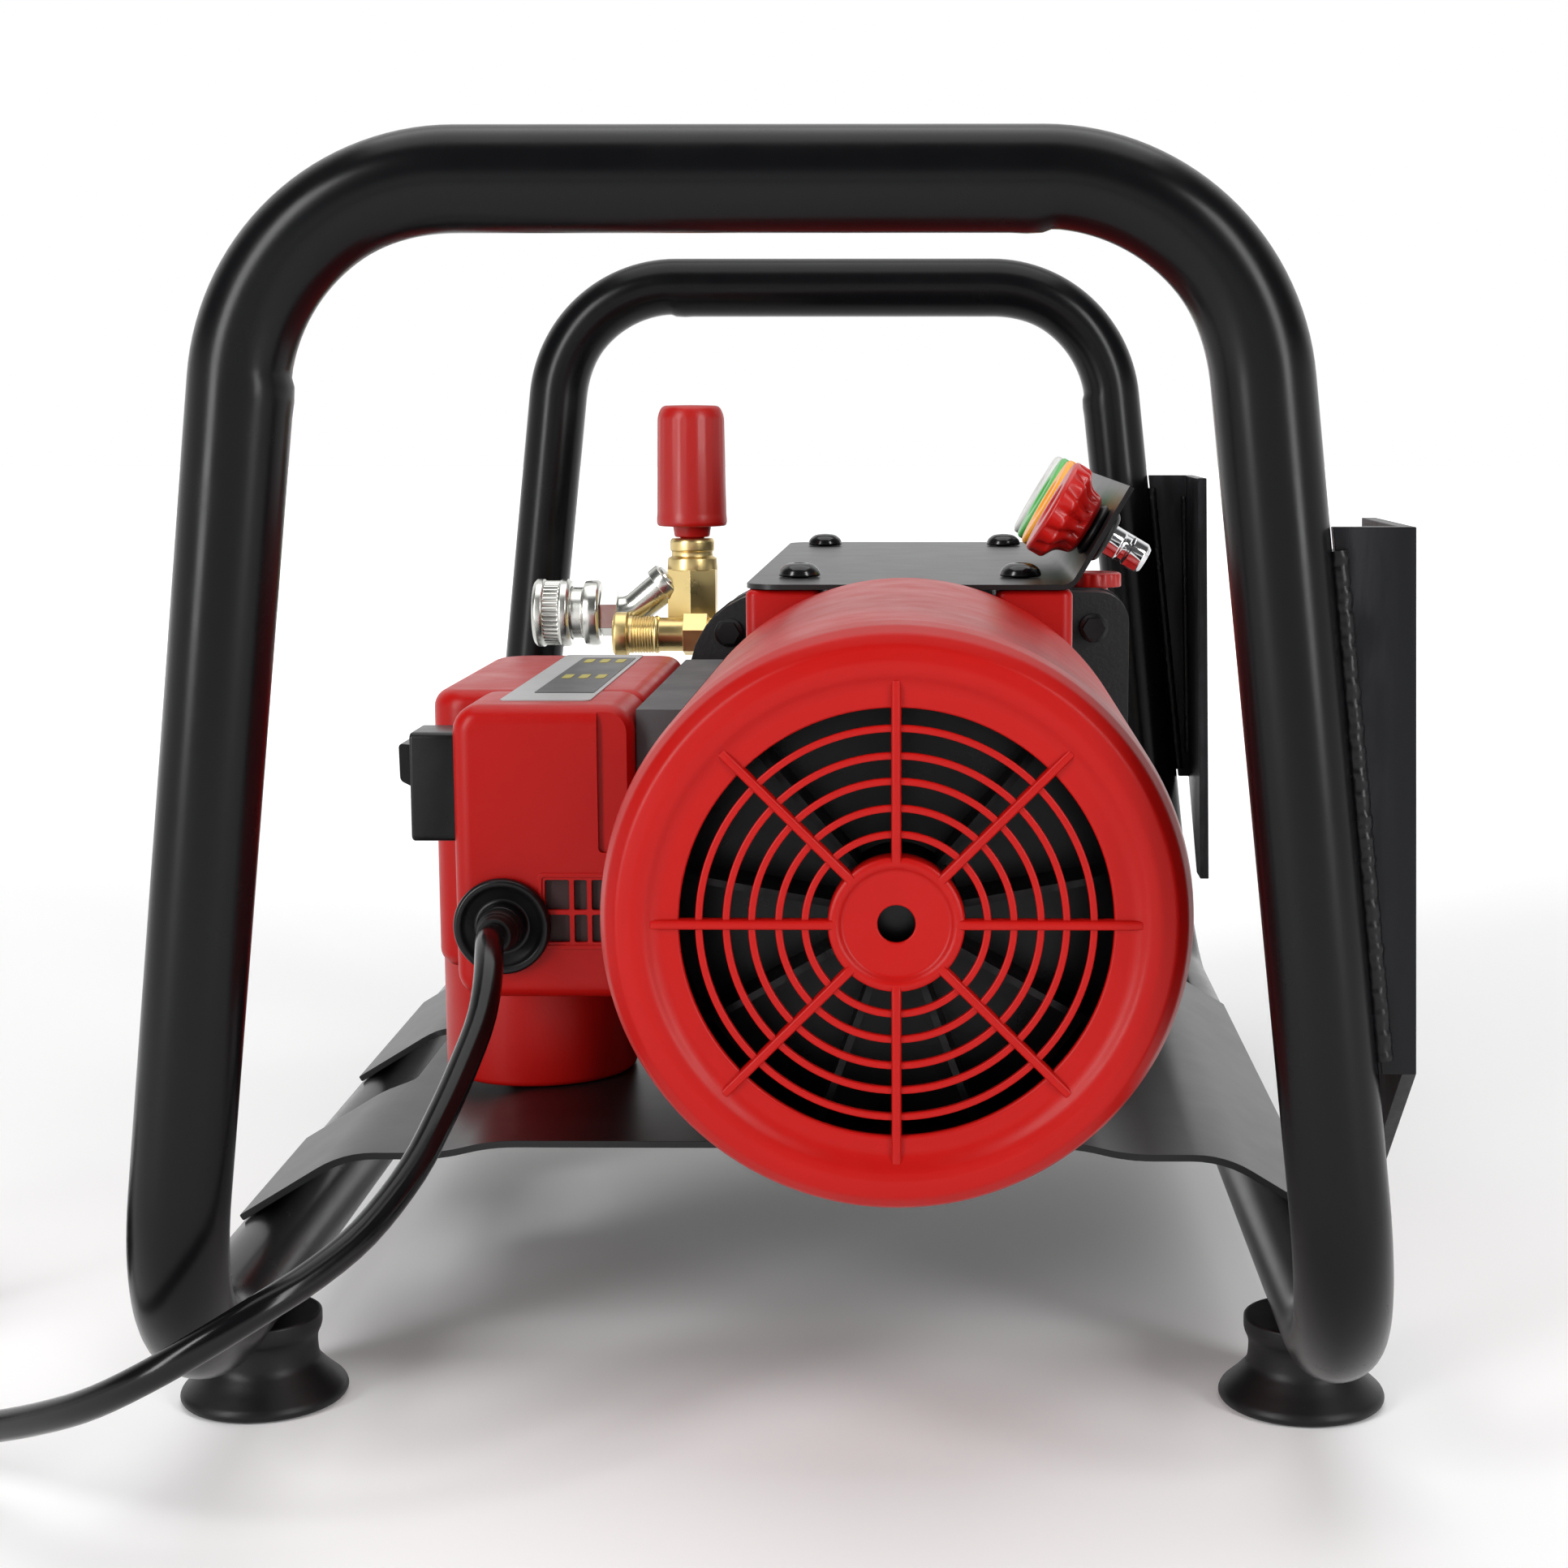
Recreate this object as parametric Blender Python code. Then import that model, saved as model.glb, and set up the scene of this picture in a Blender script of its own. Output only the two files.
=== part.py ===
"""Electric pressure washer power unit in a tubular roll frame.

World frame: +Z up, the fan end faces -Y, origin on the ground at the middle of the frame's footprint.
Metres throughout.
"""
import math

import bmesh
import bpy
from mathutils import Matrix, Vector

# ---------------------------------------------------------------- clearances
GAP = 0.0003             # between pieces that touch
RUN_GAP = 0.0004         # radial clearance of turning and sliding pieces

# ---------------------------------------------------------------- tubular frame
TUBE_R = 0.0135          # 27 mm tube
TUBE_WALL = 0.0020
HOOP_SPACING = 0.564     # front hoop to rear hoop, centre to centre
TOP_Z = 0.3623           # centre line of the top bars
LEG_HALF = 0.1381        # leg centre line from the middle, at LEG_REF_Z
LEG_REF_Z = 0.25
LEG_SPLAY = 0.1129       # outward run per unit of drop
RAIL_Z = 0.0405          # centre line of the side rails
TOP_BEND_R = 0.057
BOTTOM_BEND_R = 0.055
BEND_TAIL = 0.002        # straight run past each bottom bend
LEG_TOP_Z = 0.280        # where the legs meet the top bars
TUBE_SIDES = 10
BEND_STEPS = 4

# ---------------------------------------------------------------- feet
FOOT_Y = 0.182
FOOT_LIP_R = 0.0265
FOOT_NECK_R = 0.0160
FOOT_TOP_R = 0.0178

# ---------------------------------------------------------------- deck
DECK_TOP_Z = 0.0735
DECK_T = 0.0022
DECK_FLAT_HALF = 0.1380
DECK_RAISE = 0.0040
DECK_RAISE_HALF = 0.0920
DECK_JOGGLE = 0.0160
DECK_Y0 = -0.168
DECK_Y1 = 0.126
WING_EXTRA = 0.0020        # how far the wings run past their contact with the rails
NOTCH_Y0 = -0.082
NOTCH_Y1 = 0.002
NOTCH_X = -0.1335

# ---------------------------------------------------------------- side brackets
BRACKET_STAND = 0.0234   # outer face of the side flange, beyond the leg at LEG_REF_Z
BRACKET_T = 0.0040
BRACKET_DEPTH = 0.0610
BRACKET_TOP = 0.2745
BRACKET_LEAN = 0.0040    # how far the flange leans inwards at its top
BRACKET_CORNER = 0.1300
BRACKET_BOTTOM = 0.0900
BRACKET_WELD_GAP = 0.0007

# ---------------------------------------------------------------- motor and cowl
AXIS_X = 0.0368
AXIS_Z = 0.1650
COWL_R = 0.0825
COWL_Y0 = -0.262
COWL_STEP_Y = -0.0602
COWL_Y1 = 0.0000
COWL_REAR_R = 0.0765
COWL_WALL = 0.0025
GRILLE_DROP = 0.0030
GRILLE_T = 0.0025
HUB_HOLE_R = 0.0052
HUB_DISC_R = 0.0163
HUB_RING_R = 0.0188
GRILLE_RING_HALF = 0.00106
GRILLE_RING_RADII = (0.0250, 0.0322, 0.0396, 0.0466, 0.0541)
GRILLE_OPEN_R = 0.0602
SPOKES = 8
SPOKE_HALF = 0.0014
COWL_STEPS = 4           # facets of the cowl from one spoke to the next
SHELL_R = 0.0655
FIN_H = 0.0070
FINS = 22
SHELL_WALL = 0.0045
SHELL_Y0 = -0.190
SHELL_Y1 = 0.0640
END_BELL_T = 0.0120
BEARING_R = 0.0170
BEARING_W = 0.0110
SHAFT_R = 0.0085
ROTOR_R = 0.0380
STATOR_BORE = 0.0392
ROTOR_Y0 = -0.130
ROTOR_Y1 = 0.010
FAN_R = 0.0670
FAN_HUB_R = 0.0170
FAN_Y0 = -0.245
FAN_T = 0.0240
FAN_BLADES = 9
BOSS_W = 0.0270
BOSS_SPAN = 0.0870       # between the middles of the two plate bosses

# ---------------------------------------------------------------- pump
CRANK_Y0 = 0.0665
CRANK_Y1 = 0.1300
CRANK_LEFT = -0.0500
CRANK_RIGHT = 0.1245
CRANK_TOP = 0.2335
CRANK_BOTTOM = 0.0815
CRANK_BORE_R = 0.0560
CRANK_FLOOR = 0.0120
SWASH_R = 0.0440
SWASH_T = 0.0120
SWASH_TILT = math.radians(8.0)
HEAD_LEFT = -0.0240
HEAD_RIGHT = 0.0960
HEAD_BOTTOM = 0.1050
HEAD_TOP = 0.2270
HEAD_Y1 = 0.2230
OIL_CAP_X = 0.1125
OIL_CAP_Y = 0.0980
OIL_CAP_R = 0.0110
OIL_CAP_H = 0.0060
OIL_NECK_R = 0.0055

# ---------------------------------------------------------------- unloader, outlet, inlet
VALVE_X = -0.0565
VALVE_Y = 0.156
VALVE_R = 0.0100
VALVE_BASE_Z = 0.2060
VALVE_TOP_Z = 0.2505
KNOB_Z0 = 0.2560
KNOB_Z1 = 0.3074
KNOB_R0 = 0.0150
KNOB_R1 = 0.0138
STEM_R = 0.0050
OUTLET_Y = 0.1395          # the barrel passes in front of the valve
OUTLET_Z = 0.2105
OUTLET_R = 0.0080
OUTLET_X0 = -0.0888
COUPLER_Z = 0.2184
COUPLER_X0 = -0.1240
COUPLER_X1 = -0.0960
COUPLER_BORE_R = 0.0065
COUPLER_R = 0.0110
COLLAR_R = 0.0146
COLLAR_L = 0.0160
ELBOW_R = 0.0060
ELBOW_TOP_Z = 0.2385
ELBOW_NUT_R = 0.0086
ELBOW_NUT_L = 0.0080
INLET_Z = 0.1350
INLET_Y = 0.180

# ---------------------------------------------------------------- switch box
BOX_LEFT = -0.1050
BOX_RIGHT = -0.0475
BOX_Y0 = -0.1500
BOX_STEP_Y = -0.1065
BOX_Y1 = 0.0250
BOX_WIDE_LEFT = -0.1200
BOX_TOP = 0.2127
BOX_BOTTOM = 0.1185
BOX_WALL = 0.0025
CUP_X = -0.0898
CUP_Y = -0.0720
CUP_R = 0.0330
CUP_BOSS_R = 0.0128
CUP_BOSS_Z = 0.0518
GLAND_X = -0.0894
GLAND_Z = 0.1428
GLAND_R = 0.0154
GLAND_T = 0.0040
GLAND_NECK_R = 0.0072
GLAND_COLLAR = 0.0070    # how far the gland's collar stands out of the cover
RELIEF_L = 0.0100          # boot outside the collar
RELIEF_TAIL = 0.0120       # its tail inside the gland
RELIEF_TIP_R = 0.0056
SWITCH_Y = -0.1300
SWITCH_Z = 0.1856
SWITCH_W = 0.0230
SWITCH_H = 0.0350
SWITCH_OUT = 0.0143
ROCKER_W = 0.0150
ROCKER_H = 0.0270
ROCKER_OUT = 0.0041      # how far the raised half stands out of the bezel
ROCKER_AXIS_IN = 0.0015  # the rocker's axis, inside the bezel's face
SWITCH_WELL = 0.0085

# ---------------------------------------------------------------- top plate with nozzle holder
PLATE_X = 0.0385
PLATE_W = 0.1140
PLATE_TOP = 0.2448
PLATE_T = 0.0018
PLATE_Y0 = -0.0595
PLATE_Y1 = 0.2400
FLANGE_L = 0.0405
FLANGE_ANGLE = math.radians(59.5)
SCREW_Y0 = -0.018
SCREW_Y1 = 0.207
SCREW_SPAN = 0.0800
SCREW_HEAD_R = 0.0076
SCREW_HEAD_H = 0.0052
SCREW_SHANK_R = 0.0030
SCREW_L = 0.0120
NOZZLE_Y = -0.0370
NOZZLE_PITCH = 0.0460
NOZZLE_UP = 0.0210       # grommet centre from the bend, along the flange
NOZZLE_RING_R = 0.0176
NOZZLE_SHANK_R = 0.0056
NOZZLE_IN = 0.0200       # coloured end, from the flange
NOZZLE_OUT = 0.0190      # plug end, from the flange
GROMMET_R = 0.0098
GROMMET_T = 0.0030

# ---------------------------------------------------------------- mains cord
CORD_R = 0.0044
COIL_X = -0.3720
COIL_Y = -0.1500
COIL_MID_R = 0.0530
COIL_HALF_W = 0.0195
COIL_H = 0.0385
PLUG_L = 0.0420
PLUG_W = 0.0300
PLUG_H = 0.0260
PLUG_START = -0.0250       # its cord end, along Y from the coil's centre
PLUG_NECK_R = 0.0070
PLUG_NECK_L = 0.0100
PIN_SPACING = 0.0190
PIN_R = 0.0024
PIN_L = 0.0190


# ======================================================================= helpers
def clear_scene():
    for obj in list(bpy.data.objects):
        bpy.data.objects.remove(obj, do_unlink=True)


def material(name, colour, roughness, metallic=0.0):
    mat = bpy.data.materials.get(name)
    if mat is None:
        mat = bpy.data.materials.new(name)
        mat.use_nodes = True
        shader = mat.node_tree.nodes["Principled BSDF"]
        shader.inputs["Base Color"].default_value = (*colour, 1.0)
        shader.inputs["Roughness"].default_value = roughness
        shader.inputs["Metallic"].default_value = metallic
    return mat


def add_object(name, bm, mat, matrix=None, smooth=True):
    bmesh.ops.recalc_face_normals(bm, faces=bm.faces)
    mesh = bpy.data.meshes.new(name)
    bm.to_mesh(mesh)
    bm.free()
    if smooth:
        mesh.shade_smooth()
        mesh.set_sharp_from_angle(angle=math.radians(35))
    obj = bpy.data.objects.new(name, mesh)
    obj.data.materials.append(mat)
    bpy.context.scene.collection.objects.link(obj)
    if matrix is not None:
        obj.matrix_world = matrix
    return obj


def pivot(name, position):
    empty = bpy.data.objects.new(name, None)
    empty.location = position
    bpy.context.scene.collection.objects.link(empty)
    return empty


def hang(obj, parent):
    """Parents obj, which is placed in world coordinates, to an empty."""
    obj.parent = parent
    obj.matrix_parent_inverse = Matrix.Translation(parent.location).inverted()


def along(axis, position):
    """A matrix that lays local +Z along axis at position."""
    turn = Vector((0, 0, 1)).rotation_difference(Vector(axis).normalized()).to_matrix().to_4x4()
    return Matrix.Translation(position) @ turn


def revolve(profile, steps=24, phase=0.0):
    """Turns a closed (r, z) outline about Z. Points on the axis become single vertices."""
    bm = bmesh.new()
    rings = []
    for radius, z in profile:
        if radius < 1e-7:
            rings.append([bm.verts.new((0.0, 0.0, z))])
            continue
        ring = []
        for i in range(steps):
            a = phase + 2 * math.pi * i / steps
            ring.append(bm.verts.new((radius * math.cos(a), radius * math.sin(a), z)))
        rings.append(ring)
    count = len(rings)
    for k in range(count):
        lower, upper = rings[k], rings[(k + 1) % count]
        if len(lower) == 1 and len(upper) == 1:
            continue
        for i in range(steps):
            j = (i + 1) % steps
            if len(lower) == 1:
                bm.faces.new((lower[0], upper[i], upper[j]))
            elif len(upper) == 1:
                bm.faces.new((lower[i], lower[j], upper[0]))
            else:
                bm.faces.new((lower[i], lower[j], upper[j], upper[i]))
    return bm


def prism(outline, low, high):
    """Extrudes a closed (x, y) outline from z = low to z = high."""
    bm = bmesh.new()
    base = [bm.verts.new((x, y, low)) for x, y in outline]
    top = [bm.verts.new((x, y, high)) for x, y in outline]
    count = len(outline)
    for i in range(count):
        j = (i + 1) % count
        bm.faces.new((base[i], base[j], top[j], top[i]))
    bm.faces.new(list(reversed(base)))
    bm.faces.new(top)
    return bm


def rounded(x0, x1, y0, y1, radii, steps=3):
    """A rectangle with its own radius on each corner: (x1,y0), (x1,y1), (x0,y1), (x0,y0)."""
    if isinstance(radii, (int, float)):
        radii = (radii,) * 4
    corners = ((x1, y0, -1, 1), (x1, y1, -1, -1), (x0, y1, 1, -1), (x0, y0, 1, 1))
    starts = (-math.pi / 2, 0.0, math.pi / 2, math.pi)
    points = []
    for (x, y, sx, sy), start, radius in zip(corners, starts, radii):
        cx, cy = x + sx * radius, y + sy * radius
        for i in range(steps + 1):
            a = start + (math.pi / 2) * i / steps
            points.append((cx + radius * math.cos(a), cy + radius * math.sin(a)))
    return points


def circle(x, y, radius, steps=16, phase=0.0):
    turn = 2 * math.pi / steps
    return [(x + radius * math.cos(phase + turn * i), y + radius * math.sin(phase + turn * i))
            for i in range(steps)]


def box(x0, x1, y0, y1, z0, z1):
    return prism(((x0, y0), (x1, y0), (x1, y1), (x0, y1)), z0, z1)


def along_y():
    """Local (x, y, z) of a prism become world (x, z, y): outlines drawn in XZ, extruded along Y."""
    return Matrix(((1, 0, 0, 0), (0, 0, 1, 0), (0, 1, 0, 0), (0, 0, 0, 1)))


def along_x():
    """Outlines drawn in YZ, extruded along X."""
    return Matrix(((0, 0, 1, 0), (1, 0, 0, 0), (0, 1, 0, 0), (0, 0, 0, 1)))


def moved(bm, matrix):
    bmesh.ops.transform(bm, matrix=matrix, verts=bm.verts)
    return bm


def cut(obj, bm, operation="DIFFERENCE"):
    """Adds a Boolean with its own hidden cutter, given in world coordinates."""
    bmesh.ops.recalc_face_normals(bm, faces=bm.faces)
    mesh = bpy.data.meshes.new(obj.name + "_cutter")
    bm.to_mesh(mesh)
    bm.free()
    cutter = bpy.data.objects.new(obj.name + "_cutter", mesh)
    bpy.context.scene.collection.objects.link(cutter)
    cutter.hide_render = True
    cutter.display_type = 'WIRE'
    mod = obj.modifiers.new("bool", 'BOOLEAN')
    mod.operation = operation
    mod.object = cutter
    mod.solver = 'EXACT'
    return obj


def join(obj, bm):
    return cut(obj, bm, "UNION")


def arc(centre, start, toward, radius, sweep, steps):
    """Points of an arc about centre, from unit direction start turning to unit direction toward."""
    points = []
    for i in range(steps + 1):
        a = sweep * i / steps
        points.append(centre + radius * (math.cos(a) * start + math.sin(a) * toward))
    return points


def sweep_tube(points, outer, inner, sides):
    """An open-ended tube along points, or a solid rod when inner is 0."""
    bm = bmesh.new()
    tangents = []
    count = len(points)
    for i in range(count):
        before = points[max(i - 1, 0)]
        after = points[min(i + 1, count - 1)]
        ahead = (after - points[i]).normalized() if i < count - 1 else (points[i] - before).normalized()
        behind = (points[i] - before).normalized() if i > 0 else ahead
        tangents.append((ahead + behind).normalized())
    reference = Vector((0, 0, 1)) if abs(tangents[0].z) < 0.9 else Vector((1, 0, 0))
    side = tangents[0].cross(reference).normalized()
    shells = {}
    for radius in (outer, inner):
        if radius <= 0:
            continue
        rings = []
        normal = side.copy()
        for i, point in enumerate(points):
            normal = (normal - tangents[i] * normal.dot(tangents[i])).normalized()
            other = tangents[i].cross(normal).normalized()
            stretch = 1.0
            if 0 < i < count - 1:
                bend = (points[i + 1] - point).normalized().dot((point - points[i - 1]).normalized())
                stretch = 1.0 / math.sqrt(max(0.5 * (1 + bend), 0.5))
            turn_axis = None
            if stretch > 1.0001:
                turn_axis = (points[i + 1] - point).cross(point - points[i - 1]).normalized()
            ring = []
            for k in range(sides):
                a = 2 * math.pi * (k + 0.5) / sides
                offset = radius * (math.cos(a) * normal + math.sin(a) * other)
                if turn_axis is not None:
                    along_turn = turn_axis * offset.dot(turn_axis)
                    offset = along_turn + (offset - along_turn) * stretch
                ring.append(bm.verts.new(point + offset))
            rings.append(ring)
        shells[radius] = rings
        for lower, upper in zip(rings, rings[1:]):
            for k in range(sides):
                j = (k + 1) % sides
                bm.faces.new((lower[k], lower[j], upper[j], upper[k]))
    if inner > 0:
        for end in (0, -1):
            out_ring, in_ring = shells[outer][end], shells[inner][end]
            for k in range(sides):
                j = (k + 1) % sides
                bm.faces.new((out_ring[k], out_ring[j], in_ring[j], in_ring[k]))
    else:
        bm.faces.new(shells[outer][0])
        bm.faces.new(shells[outer][-1])
    return bm


# ======================================================================= materials
BLACK_COAT = material("black_powder_coat", (0.022, 0.022, 0.024), 0.38, 0.2)
BLACK_RUBBER = material("black_rubber", (0.018, 0.018, 0.019), 0.6)
BLACK_PLASTIC = material("black_plastic", (0.02, 0.02, 0.022), 0.45)
CORD_RUBBER = material("cord_rubber", (0.013, 0.013, 0.014), 0.35)
RED_PLASTIC = material("red_plastic", (0.60, 0.014, 0.010), 0.42)
DARK_CAST = material("dark_cast", (0.05, 0.052, 0.055), 0.6, 0.3)
ALU = material("aluminium", (0.62, 0.62, 0.63), 0.45, 0.9)
STEEL = material("steel", (0.55, 0.55, 0.56), 0.35, 1.0)
LAMINATION = material("lamination", (0.32, 0.32, 0.34), 0.5, 0.8)
BRASS = material("brass", (0.78, 0.55, 0.22), 0.32, 1.0)
CHROME = material("chrome", (0.82, 0.82, 0.83), 0.12, 1.0)
SCREW_BLACK = material("black_screw", (0.02, 0.02, 0.022), 0.25, 0.6)
NOZZLE_COLOURS = (("red", (0.62, 0.015, 0.012)), ("yellow", (0.85, 0.50, 0.01)),
                  ("green", (0.10, 0.50, 0.10)), ("white", (0.80, 0.80, 0.78)))


# ======================================================================= derived places
def leg_x(z):
    return LEG_HALF + LEG_SPLAY * (LEG_REF_Z - z)


HOOP_Y = HOOP_SPACING / 2
RAIL_X = leg_x(RAIL_Z)
BRACKET_X = LEG_HALF + TUBE_R + BRACKET_STAND
SHAFT_AT = (AXIS_X, 0.0, AXIS_Z)


# ======================================================================= frame
def frame_tubes():
    down = Vector((LEG_SPLAY, 0, -1)).normalized()
    turn = math.pi / 2 - math.atan(LEG_SPLAY)
    for end, sign in (("front", -1), ("rear", 1)):
        y = sign * HOOP_Y
        corner_x = leg_x(TOP_Z)
        reach = TOP_BEND_R * math.tan(turn / 2)
        start = Vector((corner_x - reach, y, TOP_Z))
        centre = start + Vector((0, 0, -TOP_BEND_R))
        right = arc(centre, Vector((0, 0, 1)), Vector((1, 0, 0)), TOP_BEND_R, turn, BEND_STEPS)
        right.append(Vector((leg_x(LEG_TOP_Z), y, LEG_TOP_Z)))
        left = [Vector((-v.x, v.y, v.z)) for v in reversed(right)]
        add_object(end + "_top_bar", sweep_tube(left + right, TUBE_R, TUBE_R - TUBE_WALL, TUBE_SIDES),
                   BLACK_COAT)
        for side, mirror in (("left", -1), ("right", 1)):
            run = Vector((mirror * down.x, 0, down.z))
            back = Vector((0, -sign, 0))
            foot = Vector((mirror * RAIL_X, y, RAIL_Z))
            bend_start = foot - run * BOTTOM_BEND_R
            bend_centre = bend_start + back * BOTTOM_BEND_R
            top = Vector((mirror * leg_x(LEG_TOP_Z), y, LEG_TOP_Z)) + run * GAP
            points = [top] + arc(bend_centre, -back, run, BOTTOM_BEND_R, math.pi / 2, BEND_STEPS)
            points.append(points[-1] + back * BEND_TAIL)
            add_object(end + "_leg_" + side,
                       sweep_tube(points, TUBE_R, TUBE_R - TUBE_WALL, TUBE_SIDES), BLACK_COAT)
    half = HOOP_Y - BOTTOM_BEND_R - BEND_TAIL - GAP
    for side, mirror in (("left", -1), ("right", 1)):
        ends = [Vector((mirror * RAIL_X, -half, RAIL_Z)), Vector((mirror * RAIL_X, half, RAIL_Z))]
        add_object("rail_" + side, sweep_tube(ends, TUBE_R, TUBE_R - TUBE_WALL, TUBE_SIDES), BLACK_COAT)


def feet():
    top = RAIL_Z - TUBE_R - GAP
    profile = ((0.0, 0.0035), (FOOT_LIP_R - 0.008, 0.0022), (FOOT_LIP_R - 0.004, 0.0),
               (FOOT_LIP_R - 0.0008, 0.0), (FOOT_LIP_R, 0.0030), (FOOT_LIP_R - 0.0045, 0.0075),
               (FOOT_NECK_R + 0.0012, 0.0130), (FOOT_NECK_R, top - 0.008), (FOOT_TOP_R, top),
               (0.0, top))
    for end, y in (("front", -FOOT_Y), ("rear", FOOT_Y)):
        for side, mirror in (("left", -1), ("right", 1)):
            add_object("foot_" + end + "_" + side, revolve(profile, 14), BLACK_RUBBER,
                       Matrix.Translation((mirror * RAIL_X, y, 0)))


def deck():
    """A pressed sheet: raised middle, two flats, two wings that lie on the side rails."""
    flat_bottom = DECK_TOP_Z - DECK_T
    reach = TUBE_R + GAP
    dx, dz = RAIL_X - DECK_FLAT_HALF, flat_bottom - RAIL_Z
    distance = math.hypot(dx, dz)
    slope = math.atan2(dz, dx) - math.asin(reach / distance)
    run = math.sqrt(distance ** 2 - reach ** 2) + WING_EXTRA
    joggle = DECK_RAISE_HALF + DECK_JOGGLE
    lower = ((DECK_FLAT_HALF + run * math.cos(slope), flat_bottom - run * math.sin(slope)),
             (DECK_FLAT_HALF, flat_bottom), (joggle, flat_bottom),
             (DECK_RAISE_HALF, flat_bottom + DECK_RAISE))
    half = math.tan(slope / 2) * DECK_T
    kink = math.tan(math.atan(DECK_RAISE / DECK_JOGGLE) / 2) * DECK_T
    upper = ((lower[0][0] + DECK_T * math.sin(slope), lower[0][1] + DECK_T * math.cos(slope)),
             (DECK_FLAT_HALF + half, DECK_TOP_Z), (joggle - kink, DECK_TOP_Z),
             (DECK_RAISE_HALF - kink, DECK_TOP_Z + DECK_RAISE))
    outline = [(-x, z) for x, z in lower] + [(x, z) for x, z in reversed(lower)]
    outline += [(x, z) for x, z in upper] + [(-x, z) for x, z in reversed(upper)]
    obj = add_object("deck", moved(prism(outline, DECK_Y0, DECK_Y1), along_y()), BLACK_COAT, smooth=False)
    low, high = flat_bottom - 0.05, DECK_TOP_Z + 0.03
    cut(obj, prism(rounded(-0.25, NOTCH_X, NOTCH_Y0, NOTCH_Y1, (0.006, 0.006, 0.001, 0.001)), low, high))
    cut(obj, prism(circle(CUP_X, CUP_Y, CUP_BOSS_R + 0.0010, 16), low, high))


def brackets():
    """Steel angles welded to the outer side of the two right-hand legs."""
    lean = BRACKET_LEAN / (BRACKET_TOP - BRACKET_CORNER)
    y_face = HOOP_Y + BRACKET_T / 2
    for end, sign in (("front", -1), ("rear", 1)):
        inner_top = leg_x(BRACKET_TOP) + TUBE_R + BRACKET_WELD_GAP
        inner_low = leg_x(BRACKET_CORNER) + TUBE_R + BRACKET_WELD_GAP
        face = ((inner_top, BRACKET_TOP), (BRACKET_X - BRACKET_LEAN - BRACKET_T / 2, BRACKET_TOP),
                (BRACKET_X - BRACKET_T / 2, BRACKET_CORNER), (inner_low, BRACKET_CORNER))
        y0, y1 = sorted((sign * y_face, sign * (y_face - BRACKET_T)))
        obj = add_object("bracket_" + end, moved(prism(face, y0, y1), along_y()), BLACK_COAT, smooth=False)
        flange = ((y_face, BRACKET_CORNER), (y_face, BRACKET_TOP), (y_face - BRACKET_DEPTH, BRACKET_TOP),
                  (y_face - BRACKET_DEPTH, BRACKET_BOTTOM), (y_face - BRACKET_DEPTH + 0.016, BRACKET_BOTTOM))
        points = [(sign * y, z) for y, z in flange]
        plate = moved(prism(points, BRACKET_X - BRACKET_T, BRACKET_X), along_x())
        for vert in plate.verts:
            vert.co.x -= lean * max(vert.co.z - BRACKET_CORNER, 0.0)
        join(obj, plate)


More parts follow.
